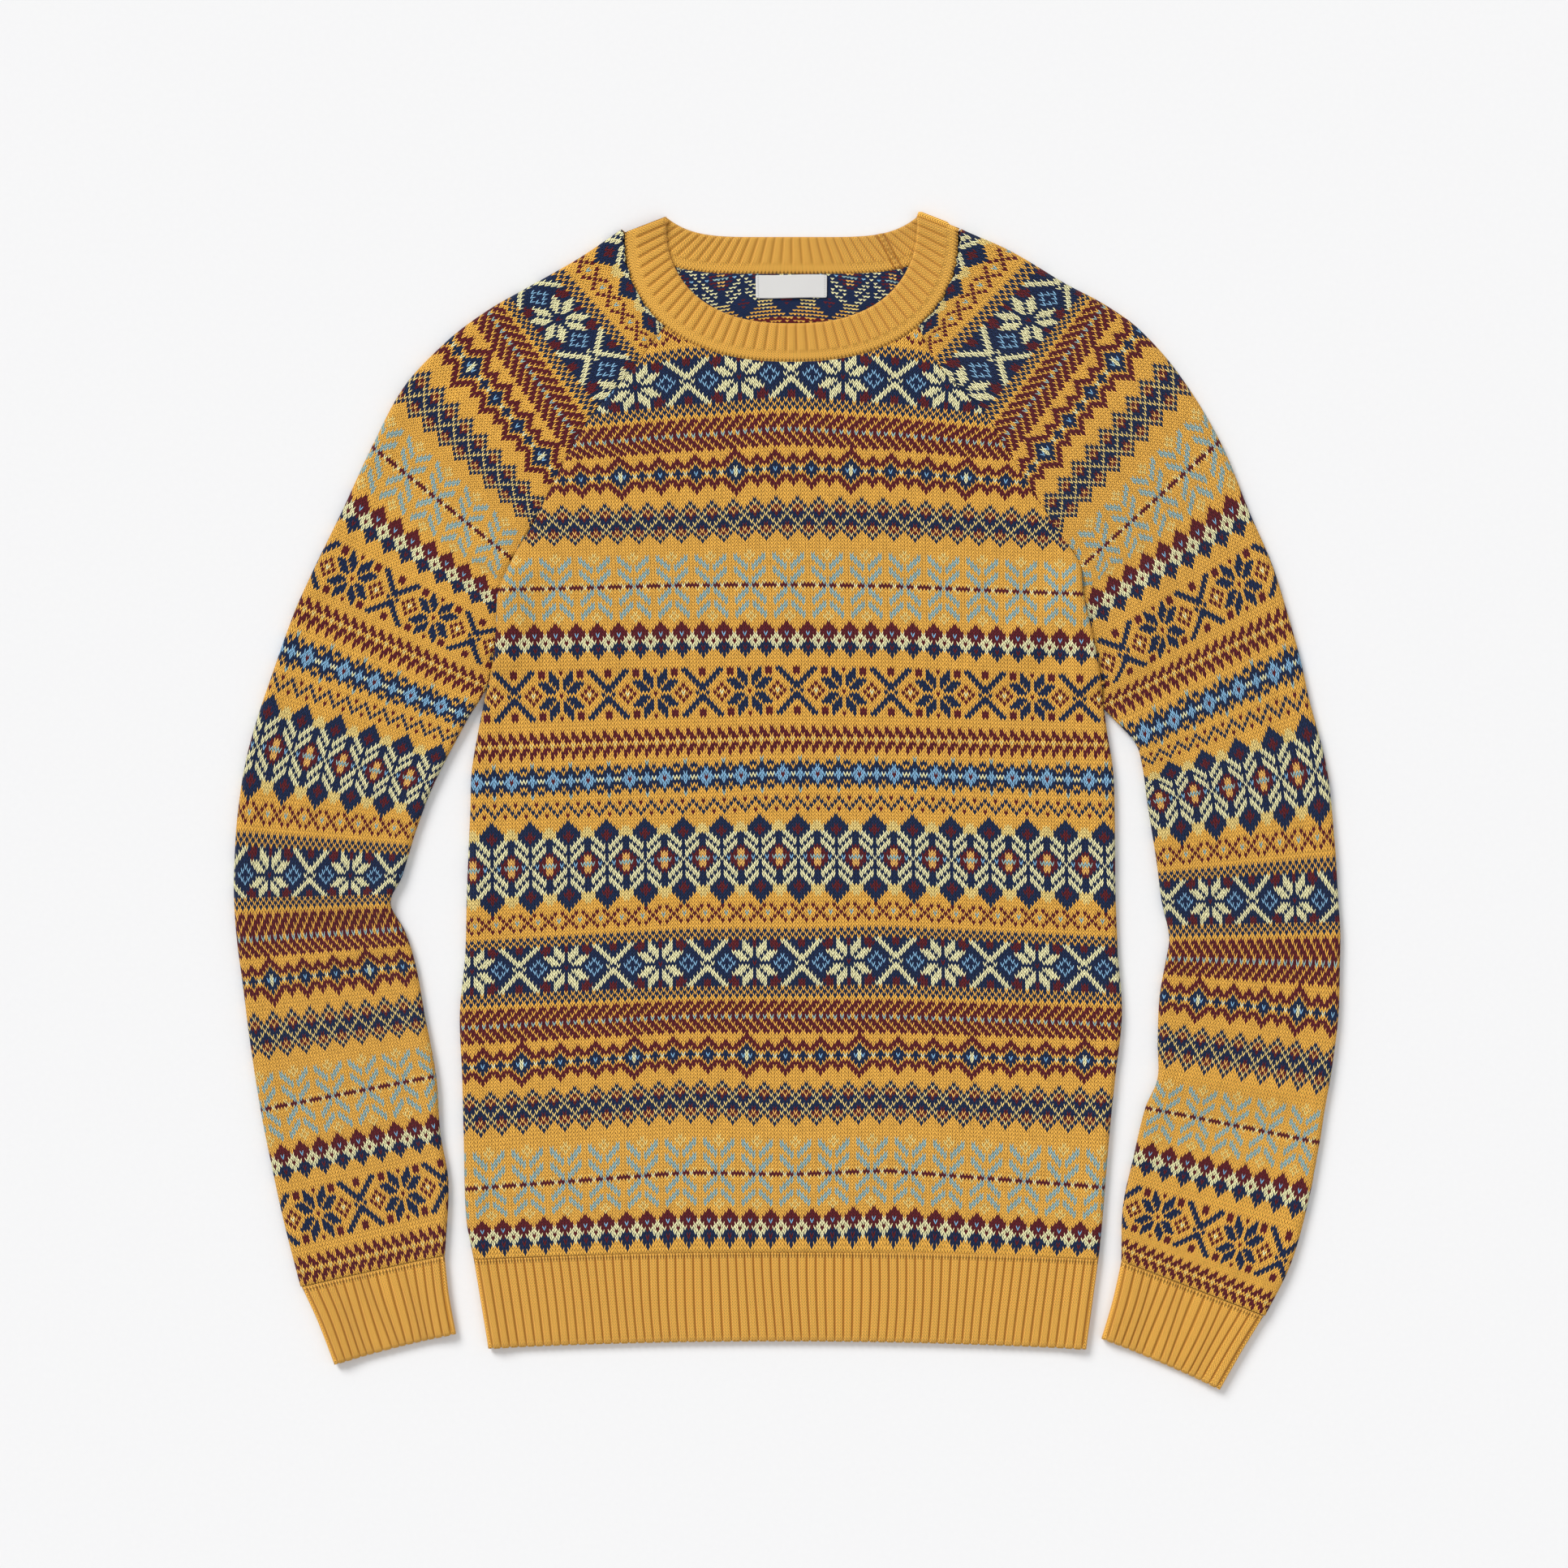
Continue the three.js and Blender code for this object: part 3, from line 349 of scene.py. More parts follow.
@dataclass(frozen=True)
class NeckEdge:
    """One edge of the neckband in plan: a deep front curve and a shallow back curve."""

    half_width: float
    end_y: float
    front_depth: float
    front_power: float
    back_drop: float
    middle: float = 2.7
    back_power: float = 5.0

    def across(self, x: Array, most: float = 1.0) -> Array:
        """Distance from the middle as a share of the half width, up to a limit."""
        return np.clip(np.abs(x - self.middle) / self.half_width, 0.0, most)

    def front_y(self, x: Array) -> Array:
        """Height of the front curve at x: a superellipse hung from the two ends."""
        power = self.front_power
        return self.end_y - self.front_depth * (1.0 - self.across(x) ** power) ** (1.0 / power)

    def back_y(self, x: Array) -> Array:
        """Height of the back curve at x: flat in the middle, turned up as a fifth power."""
        return self.end_y - self.back_drop * (1.0 - self.across(x) ** self.back_power)

    def inside_front(self, x: Array, y: Array) -> Array:
        """Whether points lie within the front curve, on the neck's side of the seam."""
        down = np.clip((self.end_y - y) / self.front_depth, 0.0, None)
        return self.across(x, np.inf) ** self.front_power + down ** self.front_power < 1.0

    def path(self, is_front: bool, shares: Array) -> Array:
        """Points at even shares of one half's length, summed along a fine line by its angle.

        Args:
            is_front: Whether the front half or the back half is wanted.
            shares: Shares of the length, from the left end to the right end.

        Returns:
            The points, a row of x and y for each share.
        """
        angle = np.linspace(0.0, math.pi, 1601)
        if is_front:
            bend = 2.0 / self.front_power
            across = np.sign(np.cos(angle)) * np.abs(np.cos(angle)) ** bend
            x = self.middle - self.half_width * across
            y = self.end_y - self.front_depth * np.maximum(np.sin(angle), 0.0) ** bend
        else:
            x = self.middle - self.half_width * np.cos(angle)
            y = self.back_y(x)
        length = np.concatenate([[0.0], np.cumsum(np.hypot(np.diff(x), np.diff(y)))])
        wanted = np.asarray(shares) * length[-1]
        return np.stack([np.interp(wanted, length, x), np.interp(wanted, length, y)], axis=-1)


NECK_SEAM = NeckEdge(half_width=107.5, end_y=366, front_depth=85.5, front_power=2.35, back_drop=29)
NECK_TOP = NeckEdge(half_width=81.2, end_y=376.2, front_depth=71, front_power=2.4, back_drop=15.5)


# Charts of the bands, one repeat each, from the top course down. A full stop is the mustard ground
EDGING = [".n", "n.", ".n"]
STAR = [
    "mnnnccnmmncnnmnncnmmnccnnnm",
    "mnnccnmmmnccnmnccnmmmnccnnm",
    "nnccnnnmnncccncccnnmnnnccnn",
    "nccnnnncccnccnccncccnnnnccn",
    "ccnnnlnncccncncncccnnlnnncc",
    "cnnnlnlnncccnnncccnnlnlnnnc",
    "ncnlnnnlnnnnnmnnnnnlnnnlncn",
]
GOLD_STAR = [
    "m...nn.mm.n..m..n.mm.nn...m",
    "m..nn..mm.nn...nn.mm..nn..m",
    "..nn......nnn.nnn......nn..",
    ".nn....nnn.nn.nn.nnn....nn.",
    "nn...m..nnn.n.n.nnn..m...nn",
    "n...m.m..nnn...nnn..m.m...n",
    ".n.m.c.m.....m.....m.c.m.n.",
]
TWILL = ["m.mm.m", ".mm.mm", "mm.mm.", "m.mm.m", "mgmg.g", "mm.mm.", ".mm.mm", "m.mm.m", "mm.mm."]
TRELLIS = [
    "n.....", "pn...n", "mon.no", "ompnpm", "mnnpnn", "nnpnpn",
    "npnnnp", "pnnmnn", "npmomp", ".nomon", "..npn.", "...n..",
]
LEAVES = [
    ".....p.....", ".g..p.p..g.", ".gg..p..gg.", "..gg...gg..", "...gg.gg...", ".g..g.g..g.",
    ".gg.....gg.", "..gg...gg..", "...gg.gg...", ".p..g.g..p.", "mmcmmgmmcmm",
]
FLOWERS = [
    "..m...", ".mmm..", "mmmmm.", "mmlmmc", "cmmmcc", "ccmccm", "cnnncc", "nnmnnc", ".nnn..", "..n...",
]
HERRINGBONE = ["m..", "mm.", ".mm", "p..", ".mm", "mm.", "m.."]
DAISIES = [
    "......g..........g....",
    "n..nn.n.nn..n..n.n.n..",
    "lnn..nnn..nnlnn.nnn.nn",
    "llnnnnlnnnnlllnnnlnnnl",
    "mllcclllccllmllclllcll",
]
ZIGZAG = ["n..m..", ".n...n", "..n.n.", "m..n.."]
MEDALLIONS = [
    "n..........", "nn........n", "nnn..pp..nn", "mnnnppppnnn", "mmnnppppnnm", "mnnccnnccnn",
    "nnccnnnnccn", "nccncnncncc", "ncnccnnccnc", "nnccnmmnccn", "nccnmoomncc", "ncnmmoommnc",
    "cnlmggggmln",
]
CROSSES = ["..m.m.", ".m...m", "m..g..", ".m...m", "..m.m."]


def mirrored(rows: Sequence[str]) -> List[str]:
    """A chart that reads the same from top and bottom, from its upper half and middle course."""
    return list(rows) + list(rows[-2::-1])


def diamond_chain() -> List[str]:
    """Chart of the chain of diamonds: large, small and middling, under zigzag lines.

    Around each diamond's middle wale the maroon line stands its half width less the distance
    away, two courses clear of the middle course, and is two courses thick except in its valleys.
    Navy fills the diamond one stitch inside.

    Returns:
        The thirteen courses of one repeat.
    """
    diamonds = [(0, 4), (6, 2), (11, 3), (16, 2), (21, 3), (26, 2), (32, 4)]
    width, reach, valley = 32, 6, 2
    rows = [["."] * width for _ in range(2 * reach + 1)]
    for middle, half in diamonds:
        for away in range(-half, half + 1):
            column = (middle + away) % width
            peak = valley + half - abs(away)
            for course in (peak, max(peak - 1, valley)):
                rows[reach - course][column] = rows[reach + course][column] = Yarn.MAROON.letter
            if abs(away) == half:
                rows[reach][column] = Yarn.CREAM.letter
            for course in range(-half + 1 + abs(away), half - abs(away)):
                rows[reach + course][column] = Yarn.NAVY.letter
        if half == 3:
            rows[reach][middle] = Yarn.SKY.letter
    for course in (-1, 0, 1):
        rows[reach + course][0] = Yarn.CREAM.letter
    rows[reach][1] = rows[reach][width - 1] = Yarn.SKY.letter
    return ["".join(row) for row in rows]


# One cycle of the pattern from the top down: each band's chart and the wale that its first
# column lies on, counted from the star's middle
CYCLE: List[Tuple[List[str], int]] = [
    (EDGING, 0), (mirrored(STAR), -13), (EDGING, 0), (["."], 0), (TWILL, 0), (diamond_chain(), -2),
    (["."], 0), (TRELLIS, 3), (["."] * 3, 0), (mirrored(LEAVES), -4), (FLOWERS, 3), (["."] * 3, 0),
    (mirrored(GOLD_STAR), -13), (["."] * 3, 0), (HERRINGBONE, 0), (["."], 0), (mirrored(DAISIES), -3),
    (["."], 0), (ZIGZAG, 1), (["."], 0), (mirrored(MEDALLIONS), 2), (CROSSES, 1), (["."] * 2, 0),
]


class FairIsle:
    """The all-over pattern: which yarn each stitch is knitted in."""

    def __init__(self) -> None:
        """Reads the charts into one row of yarn numbers for each course of the cycle."""
        number = {yarn.letter: i for i, yarn in enumerate(Yarn)}
        self.rows = [
            (np.array([number[letter] for letter in row]), phase) for chart, phase in CYCLE for row in chart
        ]
        self.palette = np.array([yarn.linear for yarn in Yarn])

    def codes(self, wales: Array, courses: Array) -> Array:
        """Yarn numbers of a block of stitches.

        Args:
            wales: The wales' numbers, counted from the star's middle.
            courses: The courses' numbers, counted from the top of the first cycle.

        Returns:
            A row for each course and a column for each wale.
        """
        rows = [self.rows[int(course) % len(self.rows)] for course in courses]
        return np.stack([row[(wales - phase) % len(row)] for row, phase in rows])

    def floats(self, codes: Array) -> Array:
        """Yarn that lies across the back of each course: the darkest that it is knitted with.

        Args:
            codes: Yarn numbers with a row for each course.

        Returns:
            Yarn numbers of the same shape.
        """
        depth = np.argsort(np.argsort(self.palette.sum(axis=1)))
        darkest = np.argmin(depth[codes], axis=1)
        return np.repeat(codes[np.arange(len(codes)), darkest][:, None], codes.shape[1], axis=1)


@dataclass
class Lattice:
    """Corners of a block of stitches, a row for each course line and a column for each wale line.

    Attributes:
        wales: Numbers of the wales, the columns of faces.
        courses: Numbers of the courses, the rows of faces.
        plan: Corner places as x, y and height.
        stitch: Corner places counted in wales and courses.
        past: For each edge of the outline, which corners lie past it.
        is_turned: Whether the faces are listed the other way round.
    """

    wales: Array
    courses: Array
    plan: Array
    stitch: Array
    past: List[Array]
    is_turned: bool

    def kept(self) -> Array:
        """Which faces are not wholly past any one edge."""
        keep = np.ones((len(self.courses), len(self.wales)), dtype=bool)
        for past in self.past:
            keep &= ~(past[:-1, :-1] & past[1:, :-1] & past[:-1, 1:] & past[1:, 1:])
        return keep


def stitch_corners(wales: Array, courses: Array) -> List[Array]:
    """Wale and course of every corner of a block of stitches, half a wale off the middles."""
    lines = np.append(wales, wales[-1] + 1) - 0.5, np.append(courses, courses[-1] + 1).astype(float)
    return np.meshgrid(*lines)


def grid_faces(index: Array, is_turned: bool = False) -> Array:
    """Four-sided faces over a grid of point numbers."""
    corners = [index[:-1, :-1], index[1:, :-1], index[1:, 1:], index[:-1, 1:]]
    return np.stack(corners[::-1] if is_turned else corners, axis=-1)


def put_mesh(name: str, points: Array, faces: Array) -> Piece:
    """Makes an object from points in millimetres and four-sided faces, and leaves out loose points.

    Args:
        name: The object's name.
        points: A row of three coordinates for each point.
        faces: A row of four point numbers for each face.

    Returns:
        The new object.
    """
    used, numbered = np.unique(faces, return_inverse=True)
    mesh = bpy.data.meshes.new(name)
    mesh.vertices.add(len(used))
    mesh.vertices.foreach_set("co", (points[used] * MM).astype(np.float32).ravel())
    mesh.loops.add(faces.size)
    mesh.loops.foreach_set("vertex_index", numbered.astype(np.int32).ravel())
    mesh.polygons.add(len(faces))
    mesh.polygons.foreach_set("loop_start", (4 * np.arange(len(faces))).astype(np.int32))
    mesh.update(calc_edges=True)
    mesh.validate(clean_customdata=False)
    mesh.polygons.foreach_set("use_smooth", np.ones(len(mesh.polygons), dtype=bool))
    piece = bpy.data.objects.new(name, mesh)
    bpy.context.scene.collection.objects.link(piece)
    return piece


def put_uv(piece: Piece, coordinates: Array) -> None:
    """Adds the Knit UV map from a pair of numbers for each face corner, in the faces' order."""
    layer = piece.data.uv_layers.new(name="Knit")
    layer.data.foreach_set("uv", coordinates.astype(np.float32).ravel())


# What a layer of each kind calls its values
LAYER_KEYS = {"FLOAT": "value", "FLOAT_COLOR": "color", "FLOAT_VECTOR": "vector"}


def put_data(piece: Piece, name: str, kind: str, values: Array, domain: str = "FACE") -> None:
    """Adds an attribute of a kind, with one value for each face or point."""
    layer = piece.data.attributes.new(name, kind, domain)
    layer.data.foreach_set(LAYER_KEYS[kind], values.astype(np.float32).ravel())


def thicken(piece: Piece, thickness: float, lining: int) -> None:
    """Gives a piece the cloth's thickness, inwards.

    Args:
        piece: The piece.
        thickness: The thickness.
        lining: How many materials on from the outer side's the inner side's is.
    """
    solidify = piece.modifiers.new("Cloth", "SOLIDIFY")
    solidify.thickness = thickness * MM
    solidify.offset = -1.0
    solidify.use_rim = True
    solidify.material_offset = lining


def declare(piece: Piece, node: str) -> Piece:
    """Makes a piece ride the root and stand for a solid, whose part it hides.

    Args:
        piece: The piece.
        node: The solid's name.

    Returns:
        The piece.
    """
    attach(piece, "root")
    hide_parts(node)
    return piece


class Graph:
    """A material's nodes, added one at a time by what they work out."""

    def __init__(self, name: str) -> None:
        """Makes an empty material with its shader and output.

        Args:
            name: The material's name.
        """
        self.material = bpy.data.materials.new(name)
        self.material.use_nodes = True
        self.tree = self.material.node_tree
        self.tree.nodes.clear()
        self.shader = self.tree.nodes.new("ShaderNodeBsdfPrincipled")
        self.node("OutputMaterial", {"Surface": self.shader.outputs["BSDF"]})

    def feed(self, node: bpy.types.Node, values: Dict[object, object]) -> None:
        """Links a node's inputs to other nodes' outputs, or sets them to numbers or colours."""
        for key, value in values.items():
            if isinstance(value, Socket):
                self.tree.links.new(value, node.inputs[key])
            else:
                node.inputs[key].default_value = value

    def node(self, kind: str, values: Dict[object, object], **settings: str) -> bpy.types.Node:
        """Adds a node.

        Args:
            kind: Its kind, as in the node's type after ShaderNode.
            values: What its inputs are linked or set to.
            settings: Its own settings.

        Returns:
            The node.
        """
        node = self.tree.nodes.new(f"ShaderNode{kind}")
        for key, value in settings.items():
            setattr(node, key, value)
        self.feed(node, values)
        return node

    def math(self, operation: str, *values: object) -> Socket:
        """One arithmetic step on one to three numbers or sockets."""
        return self.node("Math", dict(enumerate(values)), operation=operation).outputs[0]

    def times(self, a: object, b: object) -> Socket:
        """Product of two values."""
        return self.math("MULTIPLY", a, b)

    def minus(self, a: object, b: object) -> Socket:
        """First value less the second."""
        return self.math("SUBTRACT", a, b)

    def linear(self, value: object, slope: object, start: object) -> Socket:
        """A value times a slope, plus a start."""
        return self.math("MULTIPLY_ADD", value, slope, start)

    def size(self, value: object) -> Socket:
        """A value without its sign."""
        return self.math("ABSOLUTE", value)

    def dome(self, value: object, power: float) -> Socket:
        """1 less a value's size raised to a power."""
        return self.minus(1.0, self.math("POWER", self.size(value), power))

    def ramp(self, value: object, low: float, high: float, start: float = 0.0, end: float = 1.0) -> Socket:
        """Maps low..high to start..end on a soft step."""
        values = {"Value": value, "From Min": low, "From Max": high, "To Min": start, "To Max": end}
        return self.node("MapRange", values, interpolation_type="SMOOTHSTEP").outputs["Result"]

    def mix(self, factor: object, a: object, b: object) -> Socket:
        """Mixes two colours by a factor."""
        return self.node("Mix", {"Factor": factor, 6: a, 7: b}, data_type="RGBA").outputs[2]

    def scaled(self, color: object, factor: object) -> Socket:
        """A colour times a number."""
        return self.node("VectorMath", {0: color, "Scale": factor}, operation="SCALE").outputs[0]

    def split(self, vector: Socket) -> List[Socket]:
        """The three parts of a vector."""
        return list(self.node("SeparateXYZ", {0: vector}).outputs)

    def knit_place(self) -> Tuple[Socket, Socket, Socket]:
        """The two coordinates of the Knit UV map, and both together."""
        both = self.node("UVMap", {}, uv_map="Knit").outputs["UV"]
        return (*self.split(both)[:2], both)

    def stitch_place(self) -> Tuple[Socket, Socket, Socket]:
        """Place in a stitch, from its wale's middle and its course's top, and on the whole cloth."""
        wale, course, both = self.knit_place()
        middle, top, _ = self.split(self.attribute("Stitch", "Vector"))
        return self.minus(wale, middle), self.minus(course, top), both

    def attribute(self, name: str, output: str = "Color") -> Socket:
        """An attribute of the mesh."""
        return self.node("Attribute", {}, attribute_type="GEOMETRY", attribute_name=name).outputs[output]

    def noise(self, vector: object, scale: float, detail: float) -> Socket:
        """Smooth noise over a vector."""
        return self.node("TexNoise", {"Vector": vector, "Scale": scale, "Detail": detail}).outputs["Fac"]

    def finish(self, color: object, roughness: float, sheen: float) -> None:
        """Sets the shader's colour, roughness and the soft sheen of loose fibres."""
        self.feed(self.shader, {
            "Base Color": color, "Roughness": roughness, "Sheen Weight": sheen,
            "Sheen Roughness": 0.6, "Specular IOR Level": 0.12,
        })

    def bump(self, height: Socket, distance: float) -> None:
        """Raises the surface by a height of 0 to 1 times a distance in millimetres."""
        bump = self.node("Bump", {"Distance": distance * MM, "Strength": 1.0, "Height": height})
        self.feed(self.shader, {"Normal": bump.outputs["Normal"]})


@dataclass(frozen=True)
class StitchShape:
    """How a knit stitch is drawn: two slanted strands that meet in a V.

    Attributes:
        rise: Courses that a strand climbs for each stitch it moves sideways.
        strand: Distance of a strand's middle from the wale's middle, in stitches.
        half_width: Half the width of a strand, in stitches.
        groove: How dark the painted shade in the gaps between strands is.
        relief: Height of the strands in millimetres.
    """

    rise: float = 2.0
    strand: float = 0.26
    half_width: float = 0.27
    groove: float = 0.12
    relief: float = 1.0

    def height(self, graph: Graph, across: Socket, along: Socket) -> Socket:
        """Height of the knit from 0 to 1.

        Across a strand it is 1 - |2s - 1|^2.2, where s runs over the strand's width. It falls
        towards the wale's middle and edges, and in two small holes: the notch between the two
        strands' tops, and the gap where neighbouring wales' strands end.

        Args:
            graph: The material being made.
            across: Distance from the wale's middle, in stitches.
            along: Place down the fabric in courses, with the strands' climb added.

        Returns:
            The height.
        """
        share = graph.math("FRACT", along)
        crown = graph.dome(graph.linear(share, 2.0, -1.0), 2.2)
        away = graph.math("DIVIDE", graph.minus(across, self.strand), self.half_width)
        body = graph.linear(graph.math("MAXIMUM", graph.dome(away, 2.4), 0.0), 0.55, 0.45)
        notch = graph.times(graph.ramp(across, 0.0, 0.17, 1.0, 0.0), graph.ramp(share, 0.1, 0.6, 1.0, 0.0))
        gap = graph.times(graph.ramp(across, 0.36, 0.5), graph.ramp(share, 0.45, 0.95))
        holes = graph.linear(graph.math("ADD", notch, gap), -0.75, 1.0)
        return graph.times(graph.times(crown, body), holes)


@dataclass(frozen=True)
class PatternedKnit:
    """Finish of the patterned pieces' outer side: V stitches in the yarns of the chart, with
    painted shade in the gaps between strands and painted highlights on them.

    Attributes:
        name: The material's name.
        shape: How the stitches are drawn.
        fuzz: How much the loose fibres lighten and darken the yarn.
        dark_spread_as_shade: Share of a course that dark yarn spreads over pale yarn beside it, as painted
            shade.
        wander: How far the edge between two yarns strays, in courses.
    """

    name: str = "Fair isle knit"
    shape: StitchShape = StitchShape()
    fuzz: float = 0.12
    dark_spread_as_shade: float = 0.22
    wander: float = 0.24

    def make(self) -> bpy.types.Material:
        """Builds the material, which reads the Knit UV map and the faces' yarns."""
        graph = Graph(self.name)
        sideways, down, both = graph.stitch_place()
        across = graph.size(sideways)
        wander = graph.linear(graph.noise(both, 2.3, 1.0), self.wander, -0.5 * self.wander)
        along = graph.math("ADD", graph.linear(across, self.shape.rise, down), wander)
        height = self.shape.height(graph, across, along)
        own, below = graph.attribute("Yarn"), graph.attribute("YarnBelow")
        lights = [graph.node("RGBToBW", {"Color": yarn}).outputs["Val"] for yarn in (own, below)]
        paler = graph.math("MINIMUM", graph.times(graph.minus(*lights), 2.0), 1.0)
        paler = graph.math("MAXIMUM", paler, -1.0)
        # Painted shade: dark yarn is drawn over the edge of the pale yarn beside it, for the shade that falls
        # round pale stitches.
        is_below = graph.ramp(graph.linear(paler, self.dark_spread_as_shade, along), 0.97, 1.03)
        yarn = graph.mix(is_below, own, below)
        fibre = graph.noise(both, 9.0, 3.0)
        # Painted shade and highlight: the colour falls to groove times the yarn in the gaps between strands
        # and rises to 1.3 times it on their crests.
        lit = graph.ramp(height, 0.10, 0.72, self.shape.groove, 1.30)
        lit = graph.times(lit, graph.linear(fibre, 2.0 * self.fuzz, 1.0 - self.fuzz))
        # Painted shade: low in the stitch the yarn turns darker and deeper in colour.
        deep = graph.node("Gamma", {"Color": yarn, "Gamma": 1.25}).outputs["Color"]
        color = graph.mix(graph.ramp(height, 0.05, 0.6), deep, yarn)
        graph.finish(graph.scaled(color, lit), 0.95, 0.06)
        graph.bump(graph.linear(fibre, 0.22, height), self.shape.relief)
        return graph.material


@dataclass(frozen=True)
class ReverseKnit:
    """Finish of the patterned pieces' inner side: purl bumps crossed by the idle yarns."""

    name: str = "Fair isle reverse"
    relief: float = 0.6
    shadow: Tuple[float, float, float, float] = (0.01, 0.01, 0.014, 1.0)

    def make(self) -> bpy.types.Material:
        """Builds the material: a purl bump of each stitch's own yarn, over the yarn that floats by."""
        graph = Graph(self.name)
        sideways, down, both = graph.stitch_place()
        wave = graph.linear(graph.size(sideways), 0.9, down)
        along = graph.math("ADD", wave, graph.linear(graph.noise(both, 1.3, 2.0), 0.8, -0.6))
        strand = graph.math("FRACT", graph.times(along, 2.0))
        height = graph.dome(graph.linear(strand, 2.0, -1.0), 2.0)
        is_float = graph.ramp(along, 0.38, 0.44)
        yarn = graph.mix(is_float, graph.attribute("Yarn"), graph.attribute("YarnAcross"))
        graph.finish(graph.mix(graph.ramp(height, 0.0, 0.7, 0.35, 1.0), self.shadow, yarn), 0.95, 0.05)
        graph.bump(height, self.relief)
        return graph.material


@dataclass(frozen=True)
class RibKnit:
    """Finish of the bands: plain mustard knit, V stitches along each rib, painted shade in grooves and holes.
    """

    name: str = "Mustard rib"
    yarn: Yarn = Yarn.MUSTARD
    shape: StitchShape = StitchShape(groove=0.40, relief=0.7)
    # Painted shade: shares of the yarn's colour in the grooves between ribs and in the linking holes.
    depth: Tuple[float, float, float] = (0.60, 0.46, 0.28)

    def make(self) -> bpy.types.Material:
        """Builds the material.

        Returns:
            The material, which reads the Knit UV map, the place on the band in stitches, the
            Groove attribute, which is 1 in the grooves between ribs, and the Linking attribute,
            which is 1 along the row of small holes where a band is linked to the body. Both mark
            painted shade: there the colour turns to the yarn times depth, and the holes darken more.
        """
        graph = Graph(self.name)
        wale, course, both = graph.knit_place()
        across = graph.size(graph.minus(graph.math("FRACT", wale), 0.5))
        height = self.shape.height(graph, across, graph.linear(across, self.shape.rise, course))
        fibre = graph.noise(both, 7.0, 3.0)
        # Painted shade and highlight: the colour falls to groove times the yarn in the stitches' gaps and
        # rises to 1.14 times it on their crests.
        lit = graph.ramp(height, 0.05, 0.75, self.shape.groove, 1.14)
        lit = graph.times(lit, graph.linear(fibre, 0.2, 0.9))
        # Painted shade: the linking holes are darkened.
        hole = graph.times(graph.attribute("Linking", "Fac"), graph.ramp(across, 0.14, 0.30, 1.0, 0.0))
        groove = graph.ramp(graph.attribute("Groove", "Fac"), 0.12, 0.95)
        groove = graph.math("MAXIMUM", groove, hole)
        base, deep = self.yarn.linear, self.yarn.linear * self.depth
        color = graph.mix(groove, (*base, 1.0), (*deep, 1.0))
        graph.finish(graph.scaled(color, graph.times(lit, graph.linear(hole, -0.7, 1.0))), 0.95, 0.10)
        graph.bump(graph.linear(fibre, 0.25, height), self.shape.relief)
        return graph.material


@dataclass(frozen=True)
class WovenTape:
    """Finish of the label: white satin tape, bare of any words, sewn at both ends."""

    name: str = "Woven tape"
    color: Tuple[float, float, float, float] = (0.86, 0.85, 0.83, 1.0)
    shade: Tuple[float, float, float, float] = (0.68, 0.67, 0.65, 1.0)
    thread: Tuple[float, float, float, float] = (0.50, 0.49, 0.47, 1.0)
    middle: float = 2.6
    stitching: float = 21.3

    def make(self) -> bpy.types.Material:
        """Builds the material, a fine twill over the label's own UV map in millimetres."""
        graph = Graph(self.name)
        x, y, _ = graph.knit_place()
        weft = graph.math("SINE", graph.times(graph.math("ADD", x, y), 21.0))
        warp = graph.math("SINE", graph.times(y, 26.0))
        weave = graph.linear(graph.times(weft, warp), 0.5, 0.5)
        from_line = graph.size(graph.minus(graph.size(graph.minus(x, self.middle)), self.stitching))
        dash = graph.ramp(graph.math("SINE", graph.times(y, 4.4)), -0.3, 0.2)
        thread = graph.times(graph.ramp(from_line, 0.2, 0.5, 1.0, 0.0), dash)
        tint = graph.mix(graph.times(weave, 0.35), self.color, self.shade)
        graph.finish(graph.mix(graph.times(thread, 0.6), tint, self.thread), 0.55, 0.1)
        graph.bump(graph.linear(thread, 2.0, weave), 0.12)
        return graph.material


class Wardrobe:
    """The pattern and the finished materials, made once and shared."""

    def __init__(self) -> None:
        """Reads the pattern and builds every finish."""
        self.pattern = FairIsle()
        self.patterned = PatternedKnit().make()
        self.reverse = ReverseKnit().make()
        self.rib = RibKnit().make()
        self.tape = WovenTape().make()


